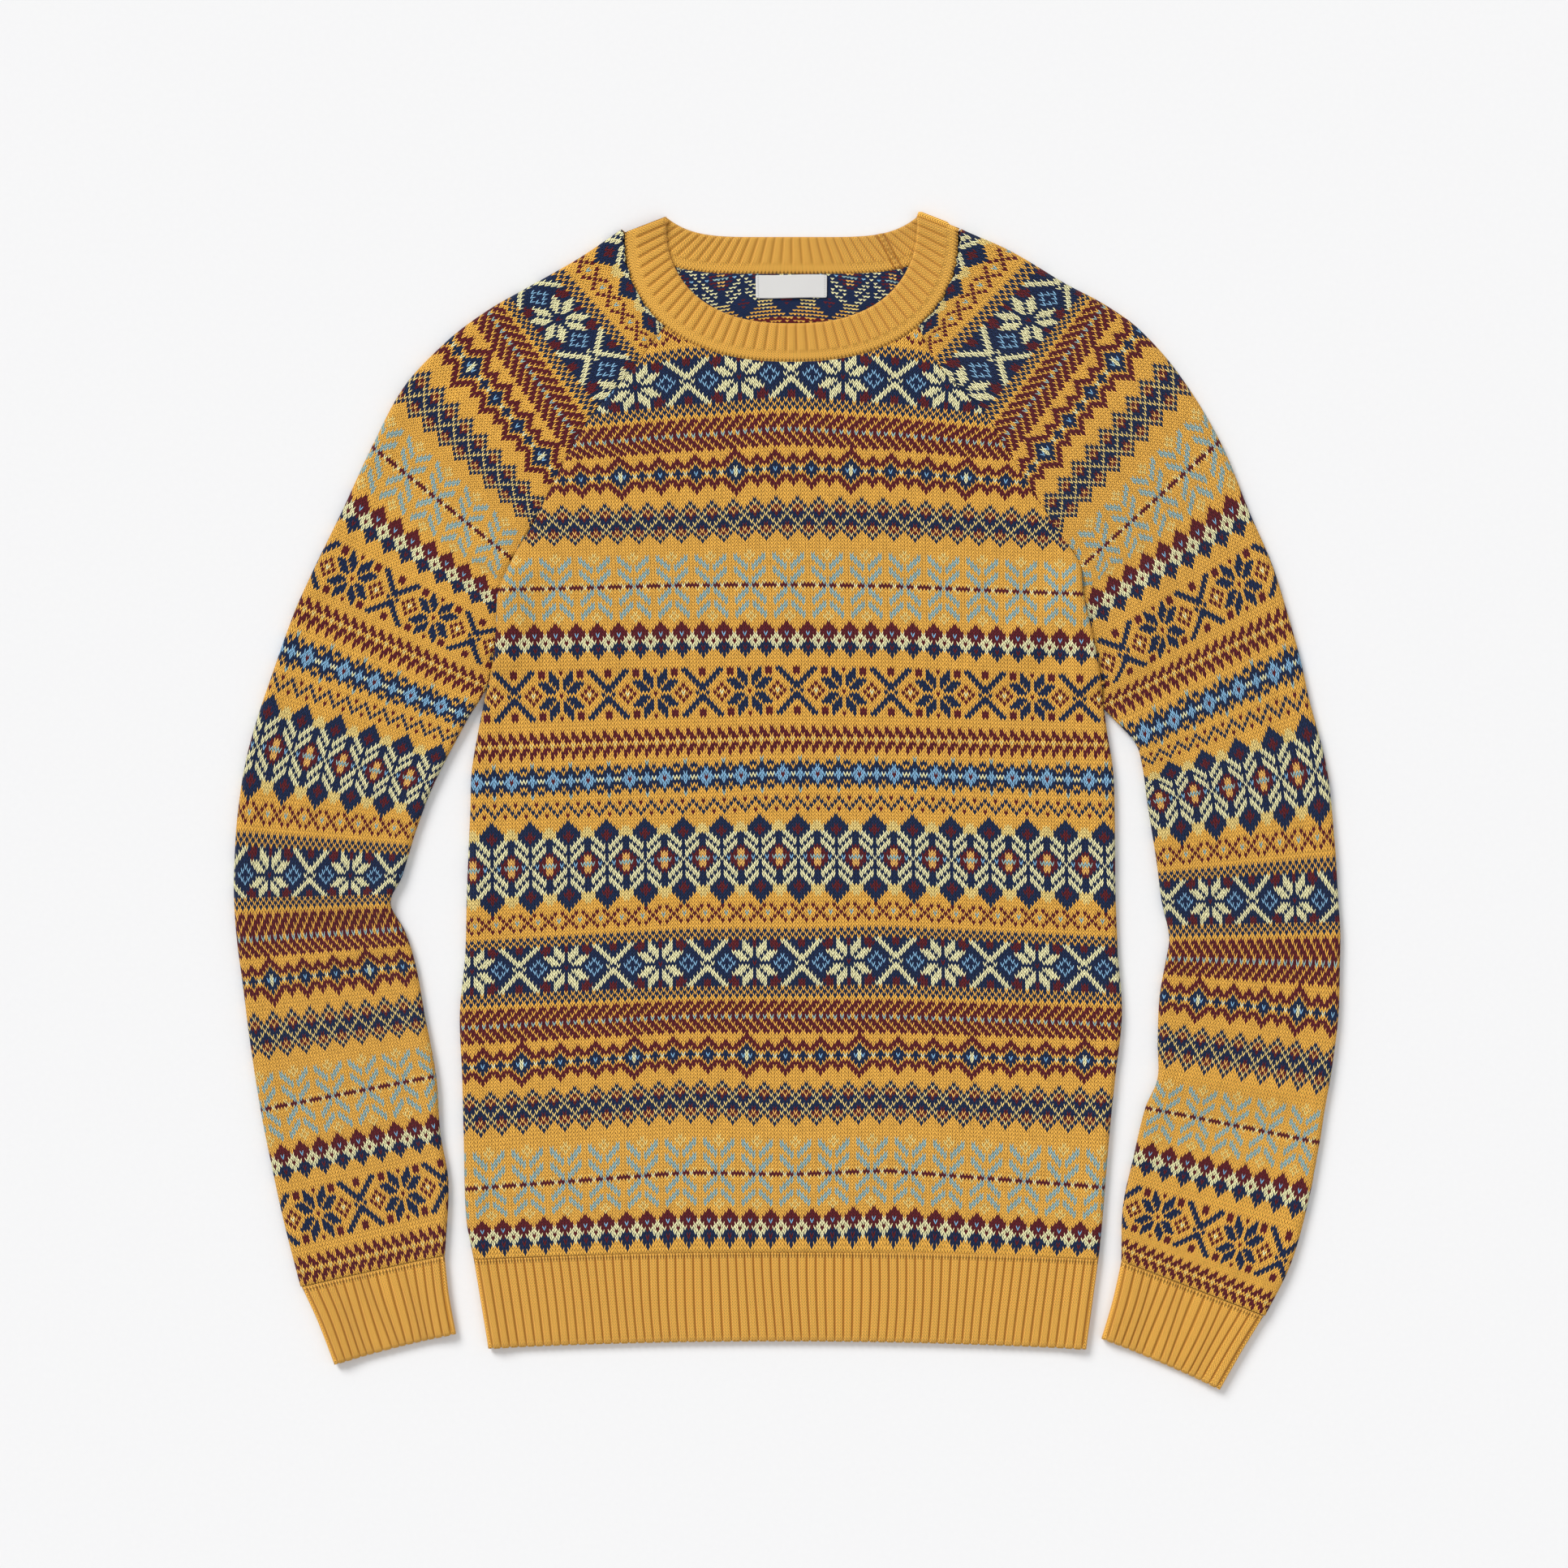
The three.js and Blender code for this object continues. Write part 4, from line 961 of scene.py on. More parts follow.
def knit(name: str, lattice: Lattice, wardrobe: Wardrobe) -> Piece:
    """Makes a patterned piece: one face for each stitch, with its yarns and its place.

    Slivers are left out. Each stitch's dye differs a little, as a normal draw about 1.

    Args:
        name: The piece's name.
        lattice: The stitches' corners.
        wardrobe: The pattern and materials.

    Returns:
        The new object.
    """
    points = lattice.plan.reshape(-1, 3)
    faces = grid_faces(np.arange(len(points)).reshape(lattice.plan.shape[:2]), lattice.is_turned)
    first, second, third, fourth = (points[faces[..., i]] for i in range(4))
    crossed = np.cross(third - first, fourth - second)
    keep = lattice.kept() & (np.linalg.norm(crossed, axis=-1) > 2.0 * SLIVER)
    piece = put_mesh(name, points, faces[keep])
    put_uv(piece, lattice.stitch.reshape(-1, 2)[faces[keep].ravel()])
    pattern = wardrobe.pattern
    codes = pattern.codes(lattice.wales, np.append(lattice.courses, lattice.courses[-1] + 1))
    rng = np.random.default_rng(len(name) * 101 + len(lattice.wales))
    shade = rng.normal(1.0, 0.045, codes.shape)[..., None]
    dyed = pattern.palette[codes] * np.clip(shade, 0.85, 1.15)
    across = pattern.palette[pattern.floats(codes[:-1])]
    for title, colors in (("Yarn", dyed[:-1]), ("YarnBelow", dyed[1:]), ("YarnAcross", across)):
        opaque = np.concatenate([colors, np.ones(colors.shape[:2] + (1,))], axis=-1)
        put_data(piece, title, "FLOAT_COLOR", opaque[keep])
    wale, course = np.meshgrid(lattice.wales, lattice.courses)
    put_data(piece, "Stitch", "FLOAT_VECTOR", np.stack([wale, course, np.zeros_like(wale)], axis=-1)[keep])
    for material in (wardrobe.patterned, wardrobe.reverse):
        piece.data.materials.append(material)
    thicken(piece, CLOTH, lining=1)
    return piece


def body_course_y(course: Array, x: Array) -> Array:
    """Height of a body course at x: its middle height less its drop.

    On each side the drop rises from nothing in the middle to the nearer measured distance on a
    soft step, and runs straight on from there to the farther one and a little past it.

    Args:
        course: Course numbers.
        x: Places across, of the same shape.

    Returns:
        Heights in plan.
    """
    near, most = 65.0, 1.35
    drop = np.zeros_like(x)
    for side, far in ((Side.LEFT, 170), (Side.RIGHT, 175)):
        away = side.outward * x
        near_drop = COURSES.at(f"{side.value}_65", course)
        far_drop = COURSES.at(f"{side.value}_{far}", course)
        farther = np.clip((away - near) / (far - near), 0.0, most)
        drop = drop + near_drop * smoothstep(away, 0.0, near) + (far_drop - near_drop) * farther
    return COURSES.at("middle", course) - drop


@dataclass
class Panel:
    """A body panel: the front, or the back that lies under it.

    Attributes:
        name: The piece's name.
        is_front: Whether it is the front.
        first_course: Number of the topmost course of its lattice.
        last_course: Number of the course past its lowest.
        wales: First wale and the one past the last.
        flat_size: Width and length of the cut, in metres. Not used.
        flat_area: Area of the cut, in square metres. Not used.
    """

    name: str
    is_front: bool
    first_course: int
    last_course: int = 256
    wales: Tuple[int, int] = (-96, 114)
    flat_size: Tuple[float, float] = (0.43, 0.60)
    flat_area: float = 0.206

    def edge(self, side: Side, y: Array) -> Array:
        """The outline's x at a height: side fold below, raglan seam above."""
        seams = FRONT_OUTLINE if self.is_front else BACK_SEAMS
        return np.where(y < ARMPIT[side], FRONT_OUTLINE.at(side.value, y), seams.at(side.value, y))

    def rolled(self, side: Side, y: Array) -> Array:
        """Share by which the side edge is rolled round its fold at a height."""
        if self.is_front:
            return 1.0 - smoothstep(y, SEAM_BEND[side] - 8, SEAM_BEND[side] + 14)
        return 1.0 - smoothstep(y, ARMPIT[side] - 24, ARMPIT[side] - 6)

    def lattice(self) -> Lattice:
        """Lays the stitches out, trims them to the outline and rolls the side edges.

        A corner past an edge is moved onto it. Over the last bit before a side fold the cloth
        turns round a quarter circle. The front's fold lifts where it lies over the sleeve, and
        its cloth sinks into the raglan and neck seams.

        Returns:
            The piece's lattice.
        """
        wales, courses = np.arange(*self.wales), np.arange(self.first_course, self.last_course)
        wale, course = stitch_corners(wales, courses)
        star, pitch = np.moveaxis(WALES.at("star pitch", course), -1, 0)
        x = star + pitch * wale
        untrimmed = body_course_y(course + V_SHIFT, x)
        course_height = COURSES.at("middle", course - 0.5) - COURSES.at("middle", course + 0.5)
        left, right, hem_y, bow = (HEM_LINES.columns[name][0] for name in ("from_x", "to_x", "from_y", "bow"))
        low = hem_y + bow * arch((x - left) / (right - left))
        top = NECK_SEAM.front_y(x) if self.is_front else NECK_SEAM.back_y(x)
        past = [untrimmed > top, untrimmed < low]
        y = np.clip(untrimmed, low, np.maximum(top, low))
        height = TOP_FACE + relief(x, y) if self.is_front else np.zeros_like(x)
        flat_x = rolled_x = x
        for side in Side:
            way, rolled, edge = side.outward, self.rolled(side, y), self.edge(side, y)
            limit = edge + way * rolled * PANEL_TURN
            past.append(way * (flat_x - limit) > 0)
            flat_x = np.where(past[-1], limit, flat_x)
            inset = way * (edge - flat_x)
            turn = np.clip(1.0 - inset / FOLD_RADIUS, 0.0, QUARTER) * rolled
            round_x = edge - way * FOLD_RADIUS * (1.0 - np.sin(turn))
            turned_x = (1 - rolled) * flat_x + rolled * round_x
            rolled_x = np.where(inset < FOLD_RADIUS, turned_x, rolled_x)
            drop = FOLD_RADIUS * (1.0 - np.cos(turn))
            if self.is_front:
                share = between(y, ARMPIT[side] + 2, SEAM_BEND[side], OVERLAP_RAMP)
                lift = OVERLAP_LIFT * share * (1.0 - smoothstep(inset, OVERLAP_FLAT, OVERLAP_REACH))
                lift = lift + fold_lift(inset - FOLD_RADIUS) * rolled
                height = height + lift - sunk(inset) * (1 - rolled) - drop
            else:
                height = height + drop
        if self.is_front:
            height = height - sunk(top - y) * (np.abs(x) < NECK_REACH)
        stitch = np.stack([wale + (flat_x - x) / pitch, course + (untrimmed - y) / course_height], axis=-1)
        plan = np.stack([rolled_x, y, height], axis=-1)
        return Lattice(wales, courses, plan, stitch, past, not self.is_front)

    def build(self, wardrobe: Wardrobe) -> Piece:
        """Args:
            wardrobe: The pattern and materials.

        Returns:
            The finished piece.
        """
        piece = knit(self.name, self.lattice(), wardrobe)
        node, rests_on = ("front", ["back_knit"]) if self.is_front else ("back", ["floor"])
        return declare(piece, node)


@dataclass
class Sleeve:
    """A raglan sleeve, folded along the shoulder and the outside of the arm.

    Attributes:
        side: Which sleeve it is.
        first_course: Number of its topmost course, past the neck seam.
        last_course: Number of the course past its lowest, at the cuff.
        wales: First wale and the one past the last.
        flat_size: Width and length of the cut, in metres. Not used.
        flat_area: Area of the cut, in square metres. Not used.
    """

    side: Side
    first_course: int = -31
    last_course: int = 278
    wales: Tuple[int, int] = (-78, 54)
    flat_size: Tuple[float, float] = (0.28, 0.72)
    flat_area: float = 0.155

    def line(self, course: Array, is_front: bool) -> Tuple[Array, Array, Array]:
        """The line across the sleeve on which a course lies, on its front or back.

        Args:
            course: Course numbers.
            is_front: Whether the front of the sleeve is wanted.

        Returns:
            The point on the outer fold, the unit vector from it to the seam or inner fold, and
            the length of the line.
        """
        way, shoulder, arm = self.side.outward, SHOULDERS[self.side], ARMS[self.side]
        above = (course < ARMPIT_COURSE)[..., None]
        out = np.where(above, shoulder.at("out_x out_y", course), arm.at("out_x out_y", course))
        if is_front:
            seam_y = shoulder.at("front_y", course)
            low, high = ARMPIT[self.side] + OVERLAP_INSET, SEAM_BEND[self.side] - OVERLAP_INSET
            tuck = OVERLAP_TUCK * between(seam_y, low, high, OVERLAP_RAMP / 2)
            seam_x = FRONT_OUTLINE.at(self.side.value, seam_y) + way * (SEAM_GAP - tuck)
        else:
            seam_y = shoulder.at("back_y", course)
            seam_x = BACK_SEAMS.at(self.side.value, seam_y) + way * SEAM_GAP
        inner = np.where(above, np.stack([seam_x, seam_y], axis=-1), arm.at("in_x in_y", course))
        length = np.linalg.norm(inner - out, axis=-1)
        return out, (inner - out) / length[..., None], length

    def lattice(self) -> Lattice:
        """Lays the stitches out round the outer fold and trims them to the seams.

        Each course runs both ways from the outer fold along its line, first round a quarter
        circle and then flat. Below the armpit its far end turns round the inner fold too. Above
        it, corners past a raglan seam are moved onto it, and each wale is cut where it meets the
        neckband.

        Returns:
            The sleeve's lattice.
        """
        wales, courses = np.arange(*self.wales), np.arange(self.first_course, self.last_course)
        wale, course = stitch_corners(wales, courses)
        pitch, fold = np.moveaxis(SLEEVE_WALES[self.side].at("pitch fold", course), -1, 0)
        run = (wale + fold) * pitch
        shifted = np.minimum(course + V_SHIFT, self.last_course)
        is_front = run >= 0
        front, back = self.line(shifted, True), self.line(shifted, False)
        out, way = (np.where(is_front[..., None], front[i], back[i]) for i in (0, 1))
        length = np.where(is_front, front[2], back[2])
        rolled = smoothstep(shifted, ARMPIT_COURSE, INNER_FOLD_COURSE)
        quarter = FOLD_RADIUS * QUARTER
        limit = length + quarter - FOLD_RADIUS + rolled * SLEEVE_TURN
        past = [run > limit, run < -limit]
        kept_run = np.minimum(np.abs(run), limit)
        turn = np.clip(kept_run / FOLD_RADIUS, 0.0, QUARTER)
        distance = FOLD_RADIUS * (1.0 - np.cos(turn)) + np.maximum(kept_run - quarter, 0.0)
        inset = length - distance
        inner_turn = np.clip(1.0 - inset / FOLD_RADIUS, 0.0, QUARTER)
        round_distance = length - FOLD_RADIUS * (1.0 - np.sin(inner_turn))
        turned = (1 - rolled) * distance + rolled * round_distance
        distance = np.where(inset < FOLD_RADIUS, turned, distance)
        inner_drop = rolled * FOLD_RADIUS * (1.0 - np.cos(inner_turn))
        x, y = np.moveaxis(out + way * distance[..., None], -1, 0)
        lift = fold_lift(distance - FOLD_RADIUS) + rolled * fold_lift(inset - FOLD_RADIUS)
        raised = relief(x, y) + lift - FOLD_RISE - sunk(inset) * (1.0 - rolled)
        top = np.minimum(FOLD_RADIUS * (1.0 + np.sin(turn)), TOP_FACE + FOLD_RISE)
        top = top + raised * smoothstep(distance, 0.0, FOLD_RADIUS) - inner_drop
        under = FOLD_RADIUS * (1.0 - np.sin(turn)) + inner_drop
        plan, cut = self.cut_at_neck(np.stack([x, y, np.where(is_front, top, under)], axis=-1), is_front)
        stitch = np.stack([wale + np.sign(run) * (kept_run - np.abs(run)) / pitch, course], axis=-1)
        return Lattice(wales, courses, plan, stitch, past + [cut], self.side is Side.RIGHT)

    @staticmethod
    def cut_at_neck(plan: Array, is_front: Array) -> Tuple[Array, Array]:
        """Moves each wale's corners past the neck seam onto the place where it crosses the seam.

        Args:
            plan: Corners' x, y and height.
            is_front: Which corners are on the sleeve's front.

        Returns:
            The new places, and which corners were past the seam.
        """
        x, y = plan[..., 0], plan[..., 1]
        within = np.abs(x - NECK_SEAM.middle) < NECK_SEAM.half_width
        inside = np.where(is_front, NECK_SEAM.inside_front(x, y), (y > NECK_SEAM.back_y(x)) & within)
        rows = np.arange(len(x))[:, None]
        past = (inside | (y > NECK_SEAM.end_y)) & (rows < NECK_ROWS)
        past = np.flip(np.logical_or.accumulate(np.flip(past, axis=0), axis=0), axis=0)
        first = np.argmin(past, axis=0)
        columns = np.arange(x.shape[1])
        crossing = 0.5 * plan[first, columns] + 0.5 * plan[np.maximum(first - 1, 0), columns]
        moved = rows < first[None, :]
        return np.where(moved[..., None], crossing[None], plan), moved

    def build(self, wardrobe: Wardrobe) -> Piece:
        """Args:
            wardrobe: The pattern and materials.

        Returns:
            The finished piece.
        """
        piece = knit(f"sleeve_{self.side.value}_knit", self.lattice(), wardrobe)
        node = f"sleeve_{self.side.value}"
        return declare(piece, node)


@dataclass(frozen=True)
class RibStyle:
    """Sizes of a rib: its height, how wide its crest is, and how its stitches are counted.

    Attributes:
        height: How far the crest stands above the groove.
        wall: Thickness of the band in the grooves.
        groove: Width of the grooves, as the sine at which a crest starts to rise.
        steps: Mesh columns in each rib.
        stitches: Wales in each rib.
        course: Height of a course.
    """

    height: float = 1.0
    wall: float = 2.0
    groove: float = 0.2
    steps: int = 10
    stitches: int = 3
    course: float = 1.9

    def crest(self, phase: Array) -> Array:
        """Height of the rib's profile from 0 in the groove to 1 on the crest.

        Args:
            phase: Place across the ribs, counted in ribs, with a groove at each whole number.

        Returns:
            A soft step of |sin(pi * phase)| from groove to crest, with a slight dip between the
            crest's two wales.
        """
        step = smoothstep(np.abs(np.sin(math.pi * phase)), 0.5 * self.groove, self.groove + 0.45)
        return step * (1.0 - 0.14 * bell(phase % 1.0 - 0.5, 0.09))

    def knit_place(self, phase: Array, depth: Array) -> Array:
        """Wale and course of each line down and across a band, with one more column to close it."""
        wale = np.append(phase, 2 * phase[-1] - phase[-2]) * self.stitches + 0.5
        return np.stack(np.meshgrid(wale, depth / self.course), axis=-1)


def round_roll(plan: Array, way: Array, angle: Array, distance: Array, lift: Array) -> Array:
    """Points at a distance from the middle line of a band's roll.

    Args:
        plan: Middle line's x and y.
        way: The way the roll looks in plan.
        angle: Angle round the roll from that way, up or down.
        distance: Distance from the middle line.
        lift: How far the points are raised besides.

    Returns:
        x, y and height.
    """
    height = FOLD_RADIUS + distance * np.sin(angle) + lift
    return np.concatenate([plan + way * (distance * np.cos(angle))[..., None], height[..., None]], axis=-1)


def ring_wall(name: str, material: bpy.types.Material, outer: Array, inner: Array, knit_place: Array,
              groove: Array, linking: Array) -> Piece:
    """Makes a closed band from its outer and inner faces, joined at both edges.

    Args:
        name: The piece's name.
        material: Its finish.
        outer: Places on the outer face, a row for each line round the band.
        inner: Places on the inner face, of the same shape.
        knit_place: The wale and course of each outer place, with one more column than outer.
        groove: 1 in the grooves and 0 on the crests, at each place, where the material paints shade.
        linking: 1 along the row of linking holes, at each place, where the material paints shade.

    Returns:
        The new object.
    """
    count = outer[..., 0].size
    index = np.arange(count).reshape(outer.shape[:2])
    index = np.concatenate([index, index[:, :1]], axis=1)
    places = np.arange(index.size).reshape(index.shape)
    rims = np.stack([index[0] + count, index[0]]), np.stack([index[-1], index[-1] + count])
    faces = [grid_faces(index), grid_faces(index + count, True), grid_faces(rims[0]), grid_faces(rims[1])]
    marks = [grid_faces(places), grid_faces(places, True)]
    marks += [grid_faces(np.stack([places[i]] * 2)) for i in (0, -1)]
    faces, marks = (np.concatenate([part.reshape(-1, 4) for part in parts]) for parts in (faces, marks))
    piece = put_mesh(name, np.concatenate([outer.reshape(-1, 3), inner.reshape(-1, 3)]), faces)
    put_uv(piece, knit_place.reshape(-1, 2)[marks.ravel()])
    for title, values in (("Groove", groove), ("Linking", linking)):
        put_data(piece, title, "FLOAT", np.tile(values.ravel(), 2), "POINT")
    piece.data.materials.append(material)
    return piece


@dataclass
class FlatBand:
    """A ribbed band pressed flat: the hem or a cuff.

    Attributes:
        name: The piece's name.
        node: The solid it stands for.
        lines: The table of lines across it.
        ribs: Number of ribs on its upper face.
        flat_size: Length round and depth of the cut, in metres. Not used.
        rows: Mesh rows from the sewn edge to the free edge.
        lap: Share of its depth by which its sewn edge reaches up to close the join.
        style: Sizes of the ribs.
    """

    name: str
    node: str
    lines: Table
    ribs: int
    flat_size: Tuple[float, float]
    rows: int = 26
    lap: float = 0.008
    style: RibStyle = RibStyle()

    def faces(self) -> Tuple[Array, ...]:
        """Works out both faces of the band.

        A line round the band runs over its upper face, round a half circle at the right end,
        back under its lower face and round the left end. The ribs stand up from the upper face,
        and on the lower face, which rests on the floor, their grooves are cut in.

        Returns:
            Outer places, inner places, knit places, groove marks and linking marks.
        """
        down = np.linspace(0.0, 1.0, self.rows)[:, None]
        lines = down - self.lap * (1 - down)
        start, end = self.lines.at("from_x from_y", lines), self.lines.at("to_x to_y", lines)
        length = np.linalg.norm(end - start, axis=-1, keepdims=True)
        unit = (end - start) / length
        sewn = np.stack([-unit[..., 1], unit[..., 0]], axis=-1)
        across = np.linspace(0.0, 1.0, self.ribs * self.style.steps + 1)
        roll = np.linspace(0.0, math.pi, ROLL_STEPS + 1)[1:-1]
        share = np.concatenate([across, np.ones_like(roll), across[::-1], np.zeros_like(roll)])
        up = np.full_like(across, QUARTER)
        angle = np.concatenate([up, QUARTER - roll, -up, -QUARTER - roll])
        phase = np.concatenate([across * self.ribs, self.ribs + roll / math.pi])
        phase = np.concatenate([phase, self.ribs + 1 + phase])
        sway = 0.9 * np.sin(share * 9.0 + down * 2.6) + 0.5 * np.sin(share * 23.0 - down * 3.0)
        inset = FOLD_RADIUS + share * (length[..., 0] - 2 * FOLD_RADIUS) + sway * arch(share)
        crest = self.style.crest(phase)
        scallop = 0.7 * crest * smoothstep(down, 0.9, 1.0)
        bowed = self.lines.at("bow", lines) * arch(share) - scallop
        plan = start + unit * inset[..., None] + sewn * bowed[..., None]
        at_join = 1 - smoothstep(down, 0.0, 0.04)
        ease = (1 - at_join) * (0.35 + 0.65 * (1 - smoothstep(down, 0.93, 1.0)))
        is_top = np.abs(angle - QUARTER) < LEVEL
        near_end = np.minimum(inset, length[..., 0] - inset) - FOLD_RADIUS
        rise = np.where(is_top, TOP_FACE - 2 * FOLD_RADIUS + fold_lift(near_end), 0.0)
        edge_roll = (0.9 * smoothstep(down, 0.94, 1.0) + 0.25 * at_join) * np.clip(np.sin(angle), 0.0, 1.0)
        radius = FOLD_RADIUS + self.style.height * (crest - np.where(is_top, 0.4, 1.0)) * ease
        outer = round_roll(plan, unit, angle, radius, rise - edge_roll)
        radius = np.full_like(radius, FOLD_RADIUS - self.style.wall)
        inner = round_roll(plan, unit, angle, radius, rise - edge_roll)
        inner[..., 2] = np.clip(inner[..., 2], 0.3, None)
        first, last = self.lines.at("from_x from_y", np.array([0.0, 1.0]))
        knit_place = self.style.knit_place(phase, down[:, 0] * np.linalg.norm(last - first))
        # The groove and linking marks say where the rib material paints shade.
        linking = bell(down - 0.035, 0.02) * np.ones_like(crest)
        return outer, inner, knit_place, (1.0 - crest) * ease, linking

    def build(self, wardrobe: Wardrobe) -> Piece:
        piece = ring_wall(self.name, wardrobe.rib, *self.faces())
        return declare(piece, self.node)


@dataclass
class Neckband:
    """The ribbed ring round the neck, pressed flat: a deep front half and a shallow back half.

    Attributes:
        front_ribs: Ribs on the front half.
        back_ribs: Ribs on the back half.
        rib_share: Share of the depth that is ribbed, from the free edge.
        shade: How dark the painted shade in the grooves between the ribs is, from 0 to 1.
        rows: Mesh rows from the free edge to the seam.
        depth: The band's depth in front.
        join: Ends of the slanted seam that joins the band's ends, from its free edge.
        style: Sizes of the ribs.
    """

    front_ribs: int = 43
    back_ribs: int = 32
    rib_share: float = 0.70
    shade: float = 0.55
    rows: int = 30
    depth: float = 27.0
    join: Tuple[Tuple[float, float], Tuple[float, float]] = ((59.3, 362.4), (71.2, 340.6))
    style: RibStyle = RibStyle(height=1.1, wall=1.9, groove=0.42, course=1.6)

    def half(self, is_front: bool, down: Array, shares: Array) -> Array:
        """Places in plan on one half, a row for each share of its depth and a column along it."""
        top, seam = (edge.path(is_front, shares)[None] for edge in (NECK_TOP, NECK_SEAM))
        return top + (seam - top) * down[:, None, None]

    def corner(self, down: Array, end: float, near: float) -> Tuple[Array, Array]:
        """The fold at one shoulder.

        Args:
            down: Shares of the band's depth.
            end: Share of a half's length at the shoulder, 0 or 1.
            near: A share close to it.

        Returns:
            The roll's middle and the way it looks, at each depth.
        """
        front, back = (self.half(is_front, down, np.array([end, near])) for is_front in (True, False))
        way = 2 * front[:, 0] - front[:, 1] - back[:, 1]
        way = way / np.linalg.norm(way, axis=-1, keepdims=True)
        return (front[:, 0] - way * FOLD_RADIUS)[:, None], way[:, None]

    def faces(self) -> Tuple[Array, ...]:
        """Works out both faces of the band.

        A line round the ring runs over the front half, round the right shoulder's half circle,
        back along the back half and round the left shoulder's. The front half shows its outer
        face, with ribs up; the back half shows its inner face through the neck, also with ribs
        up.

        Returns:
            Outer places, inner places, knit places, groove marks and linking marks.
        """
        down = np.linspace(0.0, 1.0, self.rows)
        left, right = self.corner(down, 0.0, 0.04), self.corner(down, 1.0, 0.96)
        roll = np.linspace(0.0, math.pi, ROLL_STEPS + 1)[1:-1]
        parts, counted = [], 0
        halves = ((True, self.front_ribs, QUARTER, right), (False, self.back_ribs, -QUARTER, left))
        for is_front, ribs, start, (centre, way) in halves:
            shares = np.linspace(0.0, 1.0, ribs * self.style.steps + 1)
            plan = self.half(is_front, down, shares)
            for (_, outward), nearness in ((left, 1 - shares), (right, shares)):
                plan = plan - outward * (FOLD_RADIUS * nearness ** 8)[None, :, None]
            plan = plan if is_front else plan[:, ::-1]
            parts.append((plan, np.zeros_like(plan), np.full(len(shares), start), counted + shares * ribs))
            counted += ribs
            ends = [np.repeat(values, len(roll), axis=1) for values in (centre, way)]
            parts.append((*ends, start - roll, counted + roll / math.pi))
            counted += 1
        plan, way = (np.concatenate([part[i] for part in parts], axis=1) for i in (0, 1))
        angle, phase = (np.concatenate([part[i] for part in parts]) for i in (2, 3))
        is_front, is_back = (np.abs(angle - flat) < LEVEL for flat in (QUARTER, -QUARTER))
        flat = np.zeros(plan.shape[:2])
        down = down[:, None]
        crest = self.style.crest(phase)[None, :]
        ribbed = 1 - smoothstep(down, self.rib_share, self.rib_share + 0.06)
        edge = 1 - smoothstep(down, 0.0, 0.07)
        raised = self.style.height * crest * ribbed * (1 - 0.6 * edge)
        lift = sum(fold_lift(np.linalg.norm(plan - centre, axis=-1)) for centre, _ in (left, right))
        rise = np.where(is_front, TOP_FACE - 0.3 - 2 * FOLD_RADIUS + lift, 0.0)
        edge_drop = 1.2 * edge ** 2 + SEAM_DIP * smoothstep(down, 0.90, 1.0)
        ridge, beside_join = self.join_ridge(plan)
        outer_radius = FOLD_RADIUS + np.where(is_back, 0.0, raised) + flat
        outer_lift = rise - edge_drop * np.clip(np.sin(angle), 0.0, 1.0)
        outer = round_roll(plan, way, angle, outer_radius, outer_lift)
        shown = np.where(is_back, np.maximum(raised - 0.2, ridge), 0.0)
        inner_radius = FOLD_RADIUS - self.style.wall - shown
        inner = round_roll(plan, way, angle, inner_radius, rise - np.where(is_back, edge_drop * 0.6, 0.0))
        knit_place = self.style.knit_place(phase, down[:, 0] * self.depth)
        # Painted shade: the grooves between ribs, the join seam's grooves and the linking holes are darkened
        # by the rib material.
        shaded = self.shade * (1.0 - crest) * ribbed
        groove = np.maximum(shaded, np.where(is_back, beside_join, 0.0))
        return outer, inner, knit_place, groove, bell(down - 0.955, 0.022) + flat

    def join_ridge(self, plan: Array) -> Tuple[Array, Array]:
        """Height of the overcast seam that joins the band's two ends, at points in plan.

        The seam crosses the back of the band at a slant. Across it the height falls off as a bell
        curve, and along it the overcast stitches rise and fall as a sine wave.

        Args:
            plan: Points as x and y.

        Returns:
            Heights, and the share by which a point lies in the seam's own grooves, which the material darkens
            as painted shade.
        """
        start, end = np.array(self.join)
        length = np.linalg.norm(end - start)
        unit = (end - start) / length
        along = np.clip((plan - start) @ unit, 0.0, length)
        away = np.linalg.norm(plan - start - along[..., None] * unit, axis=-1)
        wave = np.sin(along * math.tau / 3.2 + away * 0.8)
        # Painted shade: a dark line beside the seam and between its overcast stitches.
        grooves = bell(away - 2.2, 0.8) + 0.6 * bell(away, 1.6) * (wave < -0.3)
        return bell(away, 1.5) * (1.3 + 0.6 * wave), np.clip(grooves, 0.0, 1.0)

    def build(self, wardrobe: Wardrobe) -> Piece:
        piece = ring_wall("neckband_rib", wardrobe.rib, *self.faces())
        return declare(piece, "neckband")


